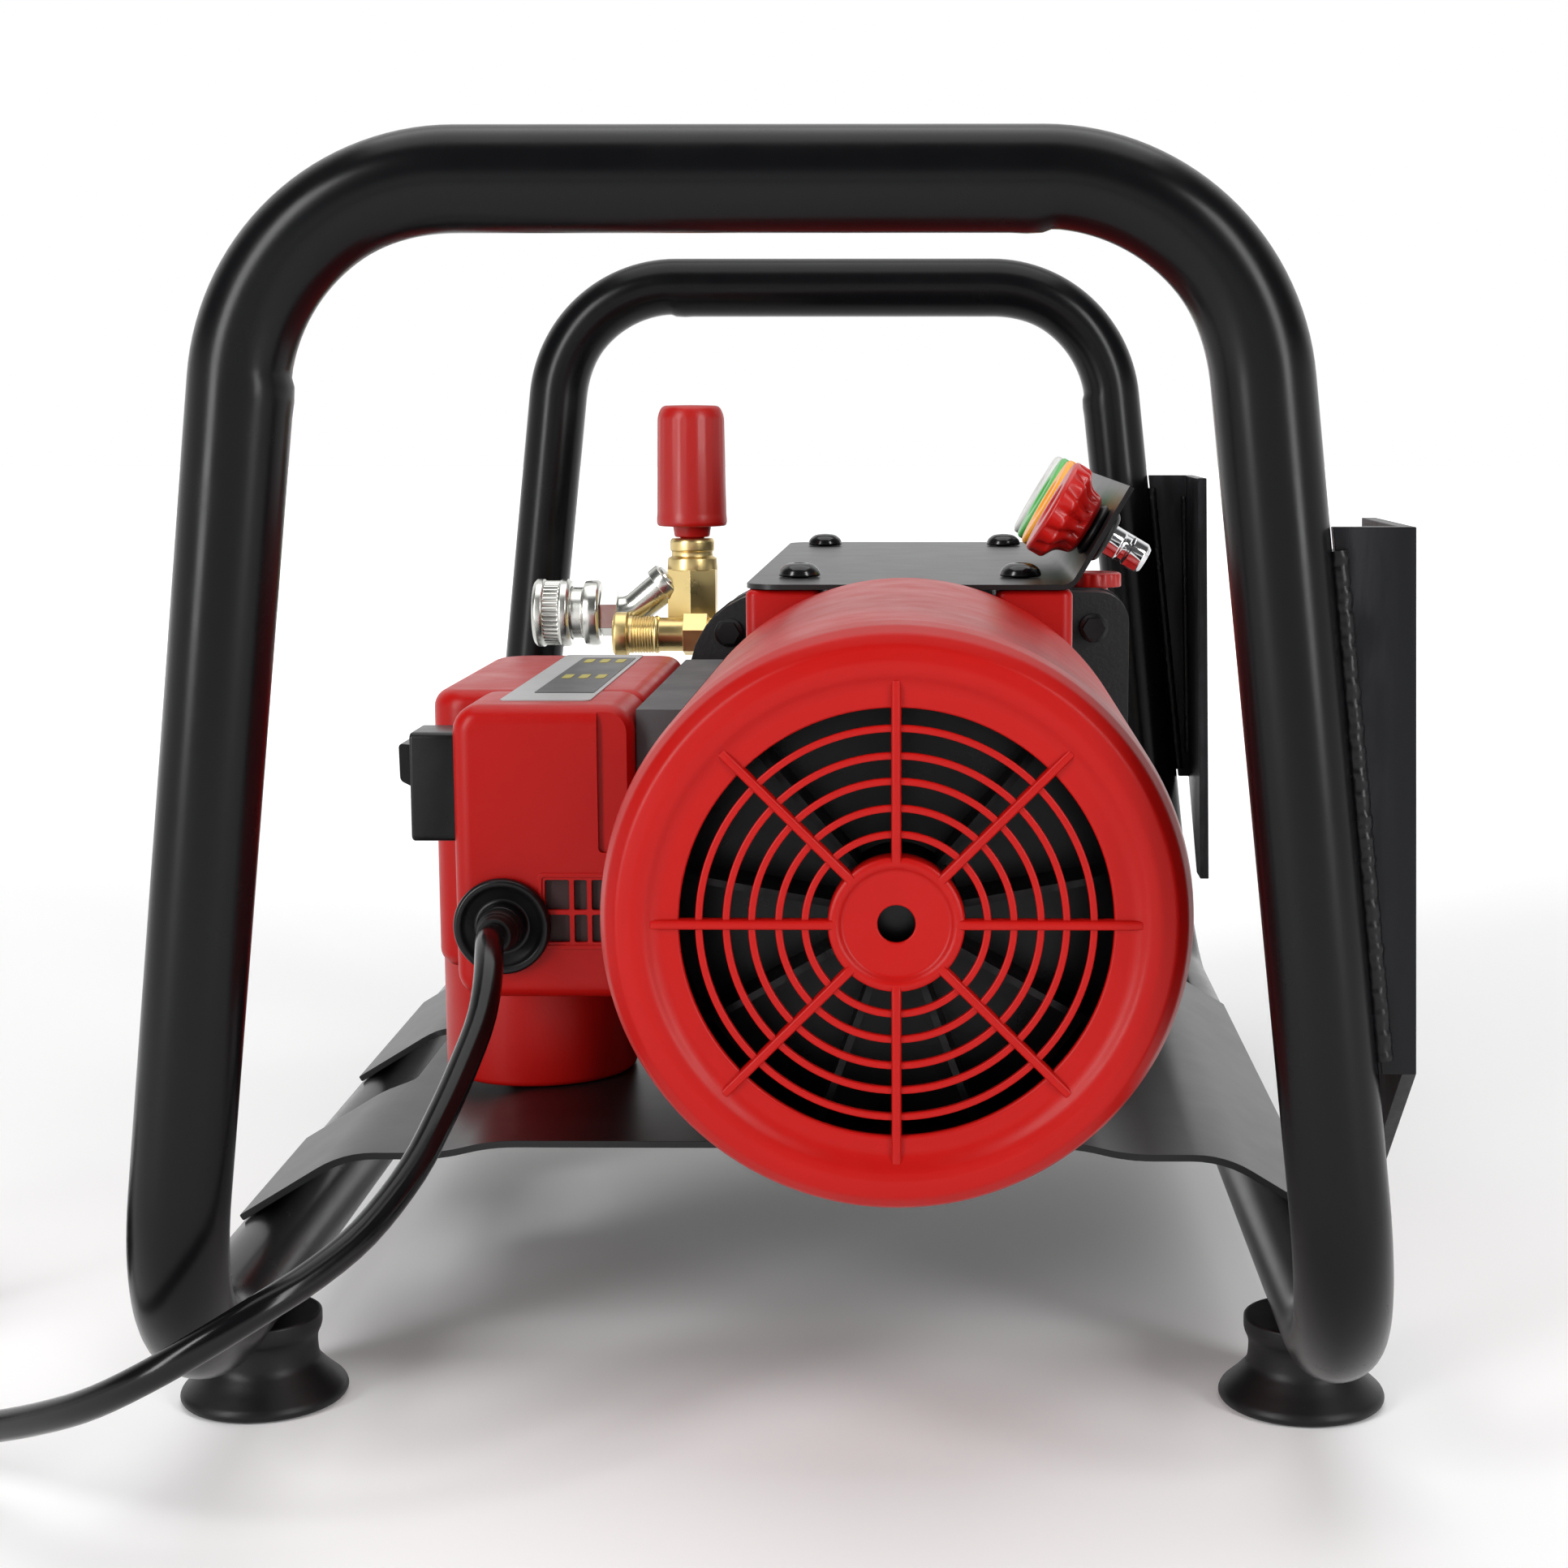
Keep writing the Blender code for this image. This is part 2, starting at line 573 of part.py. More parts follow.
# ======================================================================= cowl
def cowl():
    """Drum with a slotted grille: rings of vertices shared by the front and the back surface."""
    front_y = COWL_Y0 + GRILLE_DROP
    back_y = front_y + GRILLE_T
    radii = [HUB_HOLE_R, HUB_DISC_R, HUB_RING_R]
    for r in GRILLE_RING_RADII:
        radii += [r - GRILLE_RING_HALF, r + GRILLE_RING_HALF]
    radii.append(GRILLE_OPEN_R)
    open_bands = list(range(2, len(radii) - 1, 2))
    front = [(r, front_y) for r in radii]
    back = [(r, back_y) for r in radii]
    rim = COWL_R
    front += [(0.0668, front_y), (0.0700, COWL_Y0), (0.0750, COWL_Y0 + 0.0010),
              (rim - 0.0026, COWL_Y0 + 0.0050), (rim, COWL_Y0 + 0.0115), (rim, COWL_STEP_Y - 0.0015),
              (rim - 0.0015, COWL_STEP_Y), (COWL_REAR_R, COWL_STEP_Y + 0.0006), (COWL_REAR_R, COWL_Y1)]
    wall = COWL_WALL
    back += [(0.0690, back_y), (0.0745, COWL_Y0 + 0.0042), (rim - wall - 0.0016, COWL_Y0 + 0.0080),
             (rim - wall, COWL_Y0 + 0.0125), (rim - wall, COWL_STEP_Y - wall),
             (COWL_REAR_R - wall, COWL_STEP_Y - wall + 0.0006), (COWL_REAR_R - wall, COWL_Y1)]
    bm = bmesh.new()
    per_sector = COWL_STEPS

    def ring(radius, y):
        verts = []
        flare = math.asin(min(SPOKE_HALF / max(radius, HUB_DISC_R), 0.5))
        for s in range(SPOKES):
            middle = 2 * math.pi * s / SPOKES
            span = 2 * math.pi / SPOKES - 2 * flare
            angles = [middle - flare] + [middle + flare + span * k / (per_sector - 1)
                                         for k in range(per_sector - 1)]
            for a in angles:
                verts.append(bm.verts.new((radius * math.sin(a), y, radius * math.cos(a))))
        return verts

    rings_front = [ring(r, y) for r, y in front]
    rings_back = [ring(r, y) for r, y in back]
    total = SPOKES * per_sector

    def is_open(band, cell):
        return band in open_bands and cell % per_sector != 0

    def band_faces(rings):
        for band in range(len(rings) - 1):
            for k in range(total):
                if is_open(band, k):
                    continue
                j = (k + 1) % total
                bm.faces.new((rings[band][k], rings[band][j], rings[band + 1][j], rings[band + 1][k]))

    band_faces(rings_front)
    band_faces(rings_back)
    for k in range(total):
        j = (k + 1) % total
        bm.faces.new((rings_front[0][k], rings_front[0][j], rings_back[0][j], rings_back[0][k]))
        bm.faces.new((rings_front[-1][k], rings_front[-1][j], rings_back[-1][j], rings_back[-1][k]))
    for band in open_bands:
        for k in range(total):
            if not is_open(band, k):
                continue
            j = (k + 1) % total
            for level in (band, band + 1):
                bm.faces.new((rings_front[level][k], rings_front[level][j],
                              rings_back[level][j], rings_back[level][k]))
            if not is_open(band, (k - 1) % total):
                bm.faces.new((rings_front[band][k], rings_front[band + 1][k],
                              rings_back[band + 1][k], rings_back[band][k]))
            if not is_open(band, j):
                bm.faces.new((rings_front[band][j], rings_front[band + 1][j],
                              rings_back[band + 1][j], rings_back[band][j]))
    obj = add_object("fan_cowl", bm, RED_PLASTIC, Matrix.Translation(SHAFT_AT))
    top = PLATE_TOP - PLATE_T - GAP
    for mirror in (-1, 1):
        middle = PLATE_X + mirror * BOSS_SPAN / 2
        outline = rounded(middle - BOSS_W / 2, middle + BOSS_W / 2, AXIS_Z + 0.035, top, 0.004, 2)
        bm = moved(prism(outline, COWL_STEP_Y + 0.003, COWL_Y1 - 0.003), along_y())
        drum = moved(prism(circle(AXIS_X, AXIS_Z, COWL_REAR_R - COWL_WALL / 2, 32), -0.2, 0.1), along_y())
        join(obj, trimmed(bm, drum))
    hole_r = SCREW_SHANK_R + 0.0004
    for mirror in (-1, 1):
        hole = circle(PLATE_X + mirror * SCREW_SPAN / 2, SCREW_Y0, hole_r, 10)
        cut(obj, prism(hole, top - SCREW_L - 0.002, top + 0.01))


def trimmed(bm, other):
    """The bmesh minus another solid, evaluated at once."""
    mesh_a = bpy.data.meshes.new("trim_a")
    bmesh.ops.recalc_face_normals(bm, faces=bm.faces)
    bm.to_mesh(mesh_a)
    bm.free()
    obj = bpy.data.objects.new("trim_a", mesh_a)
    bpy.context.scene.collection.objects.link(obj)
    cut(obj, other)
    cutter = obj.modifiers[0].object
    graph = bpy.context.evaluated_depsgraph_get()
    result = bmesh.new()
    result.from_object(obj, graph)
    bpy.data.objects.remove(obj, do_unlink=True)
    bpy.data.objects.remove(cutter, do_unlink=True)
    return result


# ======================================================================= motor
def motor():
    drive = pivot("shaft_axis", SHAFT_AT)
    # ribbed shell
    outline = []
    for i in range(FINS):
        middle = 2 * math.pi * (i + 0.5) / FINS
        root = math.pi / FINS
        for radius, offset in ((SHELL_R, -root), (SHELL_R, -0.30 * root), (SHELL_R + FIN_H, -0.17 * root),
                               (SHELL_R + FIN_H, 0.17 * root), (SHELL_R, 0.30 * root)):
            a = middle + offset
            outline.append((AXIS_X + radius * math.sin(a), AXIS_Z + radius * math.cos(a)))
    shell = add_object("motor_shell", moved(prism(outline, SHELL_Y0, SHELL_Y1), along_y()), DARK_CAST)
    bore = circle(AXIS_X, AXIS_Z, SHELL_R - SHELL_WALL, 28)
    cut(shell, moved(prism(bore, SHELL_Y0 - 0.01, SHELL_Y1 + 0.01), along_y()))
    # end bell with the front bearing
    spin = Matrix.Translation(SHAFT_AT) @ Matrix.Rotation(-math.pi / 2, 4, 'X')
    y0, y1 = SHELL_Y0 - GAP - END_BELL_T, SHELL_Y0 - GAP
    bell = ((BEARING_R + RUN_GAP, y0), (SHELL_R - 0.006, y0 + 0.003), (SHELL_R, y0 + 0.006),
            (SHELL_R, y1), (BEARING_R + RUN_GAP, y1))
    add_object("motor_end_bell", revolve(bell, 24), DARK_CAST, spin)
    bearing_bore = SHAFT_R + RUN_GAP
    for name, start in (("bearing_front", y0 + 0.0005), ("bearing_rear", CRANK_Y0 + 0.0005)):
        ring = ((bearing_bore, start), (BEARING_R, start), (BEARING_R, start + BEARING_W),
                (bearing_bore, start + BEARING_W))
        add_object(name, revolve(ring, 24), STEEL, spin)
    stator_r = SHELL_R - SHELL_WALL - RUN_GAP - 0.0005
    stator = ((STATOR_BORE, ROTOR_Y0), (stator_r, ROTOR_Y0), (stator_r, ROTOR_Y1), (STATOR_BORE, ROTOR_Y1))
    add_object("stator", revolve(stator, 28), LAMINATION, spin)
    rotor = ((SHAFT_R + GAP, ROTOR_Y0 - 0.004), (ROTOR_R, ROTOR_Y0 - 0.004), (ROTOR_R, ROTOR_Y1 + 0.004),
             (SHAFT_R + GAP, ROTOR_Y1 + 0.004))
    hang(add_object("rotor", revolve(rotor, 20), LAMINATION, spin), drive)
    shaft_end = CRANK_Y0 + CRANK_FLOOR + 0.020
    shaft = ((0.0, FAN_Y0 - 0.002), (SHAFT_R - 0.001, FAN_Y0 - 0.002), (SHAFT_R, FAN_Y0 - 0.001),
             (SHAFT_R, shaft_end), (0.0, shaft_end))
    hang(add_object("motor_shaft", revolve(shaft, 20), STEEL, spin), drive)
    # paddle fan
    star = []
    for i in range(FAN_BLADES):
        middle = 2 * math.pi * i / FAN_BLADES
        root = 0.0014 / FAN_HUB_R
        tip = 0.0014 / FAN_R
        for radius, a in ((FAN_HUB_R, middle - 3 * root), (FAN_HUB_R + 0.004, middle - root),
                          (FAN_R, middle - tip), (FAN_R, middle + tip), (FAN_HUB_R + 0.004, middle + root),
                          (FAN_HUB_R, middle + 3 * root)):
            star.append((AXIS_X + radius * math.sin(a), AXIS_Z + radius * math.cos(a)))
    fan = add_object("cooling_fan", moved(prism(star, FAN_Y0, FAN_Y0 + FAN_T), along_y()), BLACK_PLASTIC)
    bore = circle(AXIS_X, AXIS_Z, SHAFT_R + GAP, 20)
    cut(fan, moved(prism(bore, FAN_Y0 - 0.01, FAN_Y0 + FAN_T + 0.01), along_y()))
    hang(fan, drive)
    # swash plate, a disc cut at a slant
    start = CRANK_Y0 + CRANK_FLOOR + 0.003
    plate = revolve(((SHAFT_R + GAP, 0), (SWASH_R, 0), (SWASH_R, SWASH_T), (SHAFT_R + GAP, SWASH_T)), 24)
    slant = math.tan(SWASH_TILT)
    for vert in plate.verts:
        if vert.co.z > SWASH_T / 2:
            vert.co.z += slant * vert.co.x
    matrix = Matrix.Translation((AXIS_X, start, AXIS_Z)) @ Matrix.Rotation(-math.pi / 2, 4, 'X')
    hang(add_object("swash_plate", plate, STEEL, matrix), drive)
    # saddle between the shell and the deck
    base = DECK_TOP_Z + DECK_RAISE + GAP
    outline = [(AXIS_X - 0.048, base), (AXIS_X + 0.048, base), (AXIS_X + 0.048, base + 0.008)]
    reach = SHELL_R + FIN_H + 0.0005
    for i in range(7):
        a = math.radians(30 - 10 * i)
        outline.append((AXIS_X + reach * math.sin(a), AXIS_Z - reach * math.cos(a)))
    outline.append((AXIS_X - 0.048, base + 0.008))
    add_object("motor_saddle", moved(prism(outline, COWL_Y1 + 0.004, SHELL_Y1 - 0.010), along_y()),
               DARK_CAST, smooth=False)


# ======================================================================= pump
def pump():
    outline = rounded(CRANK_LEFT, CRANK_RIGHT, CRANK_BOTTOM, CRANK_TOP, (0.014, 0.012, 0.034, 0.022), 4)
    crank = add_object("crankcase", moved(prism(outline, CRANK_Y0, CRANK_Y1), along_y()), DARK_CAST)
    cavity = circle(AXIS_X, AXIS_Z, CRANK_BORE_R, 28)
    cut(crank, moved(prism(cavity, CRANK_Y0 + CRANK_FLOOR, CRANK_Y1 + 0.01), along_y()))
    bore = circle(AXIS_X, AXIS_Z, BEARING_R + RUN_GAP, 24)
    cut(crank, moved(prism(bore, CRANK_Y0 - 0.01, CRANK_Y0 + CRANK_FLOOR + 0.005), along_y()))
    neck = circle(OIL_CAP_X, OIL_CAP_Y, OIL_NECK_R + RUN_GAP, 14)
    cut(crank, prism(neck, CRANK_TOP - 0.009, CRANK_TOP + 0.01))
    # feet of the crankcase on the deck
    base = DECK_TOP_Z + DECK_RAISE + GAP
    for mirror in (-1, 1):
        x = AXIS_X + mirror * 0.040
        join(crank, box(x - 0.014, x + 0.014, CRANK_Y0 + 0.002, CRANK_Y0 + 0.045, base, CRANK_BOTTOM + 0.004))
    # oil filler cap
    z = CRANK_TOP + GAP
    profile = ((0.0, z - 0.008), (OIL_NECK_R, z - 0.008), (OIL_NECK_R, z), (OIL_CAP_R, z),
               (OIL_CAP_R, z + OIL_CAP_H - 0.0015), (OIL_CAP_R - 0.0015, z + OIL_CAP_H), (0.0, z + OIL_CAP_H))
    cap_axis = pivot("oil_cap_axis", (OIL_CAP_X, OIL_CAP_Y, CRANK_TOP))
    cap = add_object("oil_cap", revolve(profile, 14), RED_PLASTIC,
                     Matrix.Translation((OIL_CAP_X, OIL_CAP_Y, 0)))
    hang(cap, cap_axis)
    # pump head with the two plate posts
    outline = rounded(HEAD_LEFT, HEAD_RIGHT, HEAD_BOTTOM, HEAD_TOP, 0.010, 3)
    head = add_object("pump_head", moved(prism(outline, CRANK_Y1 + GAP, HEAD_Y1), along_y()), ALU)
    top = PLATE_TOP - PLATE_T - GAP
    for mirror in (-1, 1):
        x = PLATE_X + mirror * SCREW_SPAN / 2
        join(head, prism(circle(x, SCREW_Y1, 0.0085, 12), HEAD_TOP - 0.012, top))
    for mirror in (-1, 1):
        x = PLATE_X + mirror * SCREW_SPAN / 2
        cut(head, prism(circle(x, SCREW_Y1, SCREW_SHANK_R + 0.0004, 10), top - SCREW_L - 0.002, top + 0.01))
    # outlet stub, a brass barrel across the left side of the head
    outlet_end = HEAD_LEFT - GAP
    profile = ((0.0, 0.0), (OUTLET_R + 0.0015, 0.0), (OUTLET_R + 0.0015, 0.006), (OUTLET_R, 0.0075),
               (OUTLET_R, outlet_end - OUTLET_X0), (0.0, outlet_end - OUTLET_X0))
    stub = add_object("outlet_barrel", revolve(profile, 16), BRASS,
                      along((1, 0, 0), (OUTLET_X0, OUTLET_Y, OUTLET_Z)))
    # unloader valve standing on the barrel
    body = circle(VALVE_X, VALVE_Y, VALVE_R, 6, math.pi / 6)
    join(stub, prism(body, VALVE_BASE_Z, VALVE_TOP_Z - 0.010))
    join(stub, prism(circle(VALVE_X, VALVE_Y, VALVE_R - 0.0015, 16), VALVE_TOP_Z - 0.014, VALVE_TOP_Z))
    knob_axis = pivot("knob_axis", (VALVE_X, VALVE_Y, VALVE_TOP_Z))
    cut(stub, prism(circle(VALVE_X, VALVE_Y, STEM_R + RUN_GAP, 16), VALVE_TOP_Z - 0.008, VALVE_TOP_Z + 0.01))
    profile = ((0.0, VALVE_TOP_Z - 0.007), (STEM_R, VALVE_TOP_Z - 0.007), (STEM_R, VALVE_TOP_Z + 0.0006),
               (STEM_R + 0.0025, VALVE_TOP_Z + 0.0006), (STEM_R + 0.0030, KNOB_Z0), (KNOB_R0, KNOB_Z0),
               (KNOB_R0, KNOB_Z0 + 0.002), (KNOB_R1, KNOB_Z1 - 0.005), (KNOB_R1 - 0.0035, KNOB_Z1 - 0.0007),
               (0.0, KNOB_Z1))
    knob = add_object("unloader_knob", revolve(profile, 18), RED_PLASTIC,
                      Matrix.Translation((VALVE_X, VALVE_Y, 0)))
    hang(knob, knob_axis)
    # slanted elbow from the valve to the coupler
    start = Vector((VALVE_X, VALVE_Y, ELBOW_TOP_Z))
    end = Vector((COUPLER_X1 + ELBOW_NUT_L / 2, VALVE_Y, COUPLER_Z))
    knee = end + Vector((ELBOW_NUT_L, 0, 0))
    elbow = add_object("outlet_elbow", sweep_tube([start, knee, end], ELBOW_R, 0, 12), CHROME)
    valve_side = VALVE_X - VALVE_R * math.cos(math.pi / 6) - GAP
    cut(elbow, box(valve_side, VALVE_X + 0.03, VALVE_Y - 0.02, VALVE_Y + 0.02, ELBOW_TOP_Z - 0.03,
                   ELBOW_TOP_Z + 0.03))
    nut = ((0.0, 0.0), (ELBOW_NUT_R, 0.0), (ELBOW_NUT_R, ELBOW_NUT_L), (0.0, ELBOW_NUT_L))
    join(elbow, moved(revolve(nut, 6, 0.1), along((1, 0, 0), (COUPLER_X1 + GAP, VALVE_Y, COUPLER_Z))))
    coupler()
    inlet()


def coupler():
    length = COUPLER_X1 - COUPLER_X0
    bore = COUPLER_BORE_R
    profile = ((bore, 0.0), (COUPLER_R, 0.0), (COUPLER_R, length - 0.007),
               (COUPLER_R + 0.003, length - 0.006),
               (COUPLER_R + 0.003, length), (0.0, length), (0.0, length - 0.006), (bore, length - 0.006))
    add_object("coupler_body", revolve(profile, 18), CHROME,
               along((1, 0, 0), (COUPLER_X0, VALVE_Y, COUPLER_Z)))
    inner = COUPLER_R + RUN_GAP
    end = COLLAR_L
    profile = ((inner, 0.0), (COLLAR_R - 0.001, 0.0), (COLLAR_R, 0.0012), (COLLAR_R, end - 0.0012),
               (COLLAR_R - 0.001, end), (inner, end))
    add_object("coupler_collar", revolve(profile, 18), CHROME,
               along((1, 0, 0), (COUPLER_X0 - 0.0005, VALVE_Y, COUPLER_Z)))


def inlet():
    """Garden-hose inlet on the left side of the head, open to the left."""
    bore = 0.0070
    profile = ((bore, 0.0), (0.0125, 0.0), (0.0125, 0.010), (0.0105, 0.011), (0.0105, 0.018),
               (0.0140, 0.019), (0.0140, 0.0250), (0.0, 0.0250), (0.0, 0.0210), (bore, 0.0210))
    add_object("inlet_fitting", revolve(profile, 16), BRASS,
               along((1, 0, 0), (HEAD_LEFT - GAP - 0.0250, INLET_Y, INLET_Z)))


# ======================================================================= switch box
def switch_box():
    wall = BOX_WALL
    # front cover that carries the gland, open towards the housing behind it
    outline = rounded(BOX_LEFT, BOX_RIGHT, BOX_BOTTOM, BOX_TOP, 0.008)
    cover = add_object("terminal_box", moved(prism(outline, BOX_Y0, BOX_STEP_Y - GAP), along_y()),
                       RED_PLASTIC)
    outline = rounded(BOX_LEFT + wall, BOX_RIGHT - wall, BOX_BOTTOM + wall, BOX_TOP - wall, 0.006)
    cut(cover, moved(prism(outline, BOX_Y0 + wall, BOX_STEP_Y + 0.01), along_y()))
    hole = circle(GLAND_X, GLAND_Z, GLAND_NECK_R + GAP, 16)
    cut(cover, moved(prism(hole, BOX_Y0 - 0.01, BOX_Y0 + wall + 0.002), along_y()))
    # wide housing with the round cup below, open towards the cover
    outline = rounded(BOX_WIDE_LEFT, BOX_RIGHT, BOX_STEP_Y, BOX_Y1, (0.004, 0.010, 0.014, 0.012))
    housing = add_object("capacitor_housing", prism(outline, BOX_BOTTOM, BOX_TOP), RED_PLASTIC)
    base = DECK_TOP_Z + DECK_RAISE + GAP
    join(housing, prism(circle(CUP_X, CUP_Y, CUP_R, 28), base, BOX_BOTTOM + 0.01))
    join(housing, prism(circle(CUP_X, CUP_Y, CUP_BOSS_R, 16), CUP_BOSS_Z, base + 0.01))
    outline = rounded(BOX_WIDE_LEFT + wall, BOX_RIGHT - wall, BOX_STEP_Y + wall, BOX_Y1 - wall, 0.006, 2)
    cut(housing, prism(outline, BOX_BOTTOM + wall, BOX_TOP - wall))
    cut(housing, prism(circle(CUP_X, CUP_Y, CUP_R - wall, 28), base + wall, BOX_BOTTOM + wall + 0.001))
    window = (BOX_LEFT + 0.010, BOX_RIGHT - 0.010, BOX_BOTTOM + 0.020, BOX_TOP - 0.015)
    cut(housing, box(window[0], window[1], BOX_STEP_Y - 0.01, BOX_STEP_Y + wall + 0.001,
                     window[2], window[3]))
    # pad between the box and the cowl
    low, high = AXIS_Z + 0.012, BOX_TOP - 0.002
    reach = COWL_R + 0.0006
    outline = [(BOX_RIGHT + GAP, high), (BOX_RIGHT + GAP, low)]
    for i in range(7):
        z = low + (high - low) * i / 6
        outline.append((AXIS_X - math.sqrt(reach ** 2 - (z - AXIS_Z) ** 2) - 0.0002, z))
    add_object("terminal_pad", moved(prism(outline, BOX_Y0 + 0.008, BOX_Y1), along_y()), DARK_CAST,
               smooth=False)
    # gland: a dished ring and a collar; the tapered boot holds the cord
    y_axis = (0, -1, 0)
    collar = GLAND_COLLAR
    profile = ((CORD_R + GAP, -0.0020), (GLAND_NECK_R, -0.0020), (GLAND_NECK_R, GAP), (GLAND_R, GAP),
               (GLAND_R, GLAND_T - 0.0012), (GLAND_R - 0.0012, GLAND_T), (GLAND_R - 0.0035, GLAND_T),
               (GLAND_NECK_R + 0.0010, GLAND_T - 0.0020), (GLAND_NECK_R, collar), (CORD_R + GAP, collar))
    add_object("cable_gland", revolve(profile, 20), BLACK_PLASTIC, along(y_axis, (GLAND_X, BOX_Y0, GLAND_Z)))
    # rocker switch on the left face of the cover
    half_w, half_h = SWITCH_W / 2, SWITCH_H / 2
    x_out = BOX_LEFT - GAP - SWITCH_OUT
    outline = rounded(-half_w, half_w, -half_h, half_h, 0.002, 2)
    place = Matrix.Translation((0, SWITCH_Y, SWITCH_Z)) @ along_x()
    bezel = add_object("switch_bezel", moved(prism(outline, x_out, BOX_LEFT - GAP), place), BLACK_PLASTIC,
                       smooth=False)
    pocket = rounded(-ROCKER_W / 2 - 0.0006, ROCKER_W / 2 + 0.0006, -ROCKER_H / 2 - 0.0016,
                     ROCKER_H / 2 + 0.0018, 0.001, 2)
    cut(bezel, moved(prism(pocket, x_out - 0.01, x_out + SWITCH_WELL), place))
    axis_x = x_out + ROCKER_AXIS_IN
    rock = pivot("rocker_axis", (axis_x, SWITCH_Y, SWITCH_Z))
    # the rocker's outline in XZ about its axis: its upper half stands out, its lower half is pressed in
    tip = ROCKER_H / 2
    high = ROCKER_OUT + ROCKER_AXIS_IN
    shape = ((0.0048, -0.0030), (0.0048, 0.0030), (0.0000, tip - 0.0004), (0.0006 - high, tip),
             (-high, tip - 0.0008), (0.0008 - high, 0.0006), (-0.0004, -0.0010), (0.0014, -tip + 0.0006),
             (0.0022, -tip))
    placed = [(axis_x + x, SWITCH_Z + z) for x, z in shape]
    rocker = add_object("rocker", moved(prism(placed, SWITCH_Y - ROCKER_W / 2, SWITCH_Y + ROCKER_W / 2),
                                        along_y()), BLACK_PLASTIC, smooth=False)
    hang(rocker, rock)


# ======================================================================= top plate and nozzles
def top_plate():
    x0 = PLATE_X - PLATE_W / 2
    x1 = PLATE_X + PLATE_W / 2
    up = (math.cos(FLANGE_ANGLE), math.sin(FLANGE_ANGLE))
    out = (up[1], -up[0])
    half = math.tan(FLANGE_ANGLE / 2) * PLATE_T
    low = PLATE_TOP - PLATE_T
    outline = [(x0, low), (x1, low), (x1 + FLANGE_L * up[0], low + FLANGE_L * up[1]),
               (x1 + FLANGE_L * up[0] - PLATE_T * out[0], low + FLANGE_L * up[1] - PLATE_T * out[1]),
               (x1 - half, PLATE_TOP), (x0, PLATE_TOP)]
    plate = add_object("top_plate", moved(prism(outline, PLATE_Y0, PLATE_Y1), along_y()), BLACK_COAT,
                       smooth=False)
    for x in (PLATE_X - SCREW_SPAN / 2, PLATE_X + SCREW_SPAN / 2):
        for y in (SCREW_Y0, SCREW_Y1):
            cut(plate, prism(circle(x, y, SCREW_SHANK_R + 0.0004, 10), low - 0.01, PLATE_TOP + 0.01))
    corner = 0.012
    for y, sign in ((PLATE_Y0, 1), (PLATE_Y1, -1)):
        points = [(x0 - 0.001, y - sign * 0.001), (x0 + corner, y - sign * 0.001), (x0 + corner, y)]
        for i in range(1, 4):
            a = (math.pi / 2) * i / 4
            points.append((x0 + corner - corner * math.sin(a), y + sign * (corner - corner * math.cos(a))))
        points += [(x0, y + sign * corner), (x0 - 0.001, y + sign * corner)]
        cut(plate, prism(points, low - 0.01, PLATE_TOP + 0.01))
    # holes, grommets, nozzles
    inward = Vector((-out[0], 0, -out[1]))
    screws()
    for k, (colour, rgb) in enumerate(NOZZLE_COLOURS):
        y = NOZZLE_Y + k * NOZZLE_PITCH
        centre = Vector((x1 + NOZZLE_UP * up[0], y, low + NOZZLE_UP * up[1])) + inward * (PLATE_T / 2)
        matrix = along(inward, centre)
        hole_r = NOZZLE_SHANK_R + 0.0022
        hole = ((0, -0.006), (hole_r + GAP, -0.006), (hole_r + GAP, 0.006), (0, 0.006))
        cut(plate, moved(revolve(hole, 14), matrix))
        face = PLATE_T / 2 + GAP
        inner = NOZZLE_SHANK_R + RUN_GAP
        profile = ((inner, -face - GROMMET_T), (GROMMET_R - 0.0014, -face - GROMMET_T),
                   (GROMMET_R, -face - GROMMET_T / 2), (GROMMET_R - 0.0006, -face), (hole_r, -face),
                   (hole_r, face), (GROMMET_R - 0.0006, face), (GROMMET_R, face + GROMMET_T / 2),
                   (GROMMET_R - 0.0014, face + GROMMET_T), (inner, face + GROMMET_T))
        add_object("grommet_" + colour, revolve(profile, 14), BLACK_RUBBER, matrix)
        start = face + GROMMET_T + GAP
        end = NOZZLE_IN
        shank = NOZZLE_SHANK_R
        profile = ((0.0, -NOZZLE_OUT), (shank - 0.0014, -NOZZLE_OUT), (shank, -NOZZLE_OUT + 0.002),
                   (shank, -0.0120), (shank - 0.0010, -0.0112), (shank - 0.0010, -0.0092), (shank, -0.0084),
                   (shank, start), (NOZZLE_RING_R - 0.0075, start), (NOZZLE_RING_R - 0.0045, start + 0.006),
                   (NOZZLE_RING_R, end - 0.0065), (NOZZLE_RING_R, end), (0.0, end))
        axis = pivot("nozzle_axis_" + colour, centre)
        mat = material("nozzle_" + colour, rgb, 0.35)
        hang(add_object("nozzle_" + colour, revolve(profile, 14), mat, matrix), axis)


def screws():
    profile_top = PLATE_TOP + GAP
    names = {(-1, 0): "front_left", (1, 0): "front_right", (-1, 1): "rear_left", (1, 1): "rear_right"}
    profile = ((0.0, profile_top - SCREW_L), (SCREW_SHANK_R, profile_top - SCREW_L),
               (SCREW_SHANK_R, profile_top), (SCREW_HEAD_R, profile_top),
               (SCREW_HEAD_R - 0.0006, profile_top + 0.0018), (SCREW_HEAD_R - 0.0028, profile_top + 0.0042),
               (0.0, profile_top + SCREW_HEAD_H))
    for (mirror, row), label in names.items():
        x = PLATE_X + mirror * SCREW_SPAN / 2
        y = (SCREW_Y0, SCREW_Y1)[row]
        add_object("plate_screw_" + label, revolve(profile, 12), SCREW_BLACK, Matrix.Translation((x, y, 0)))


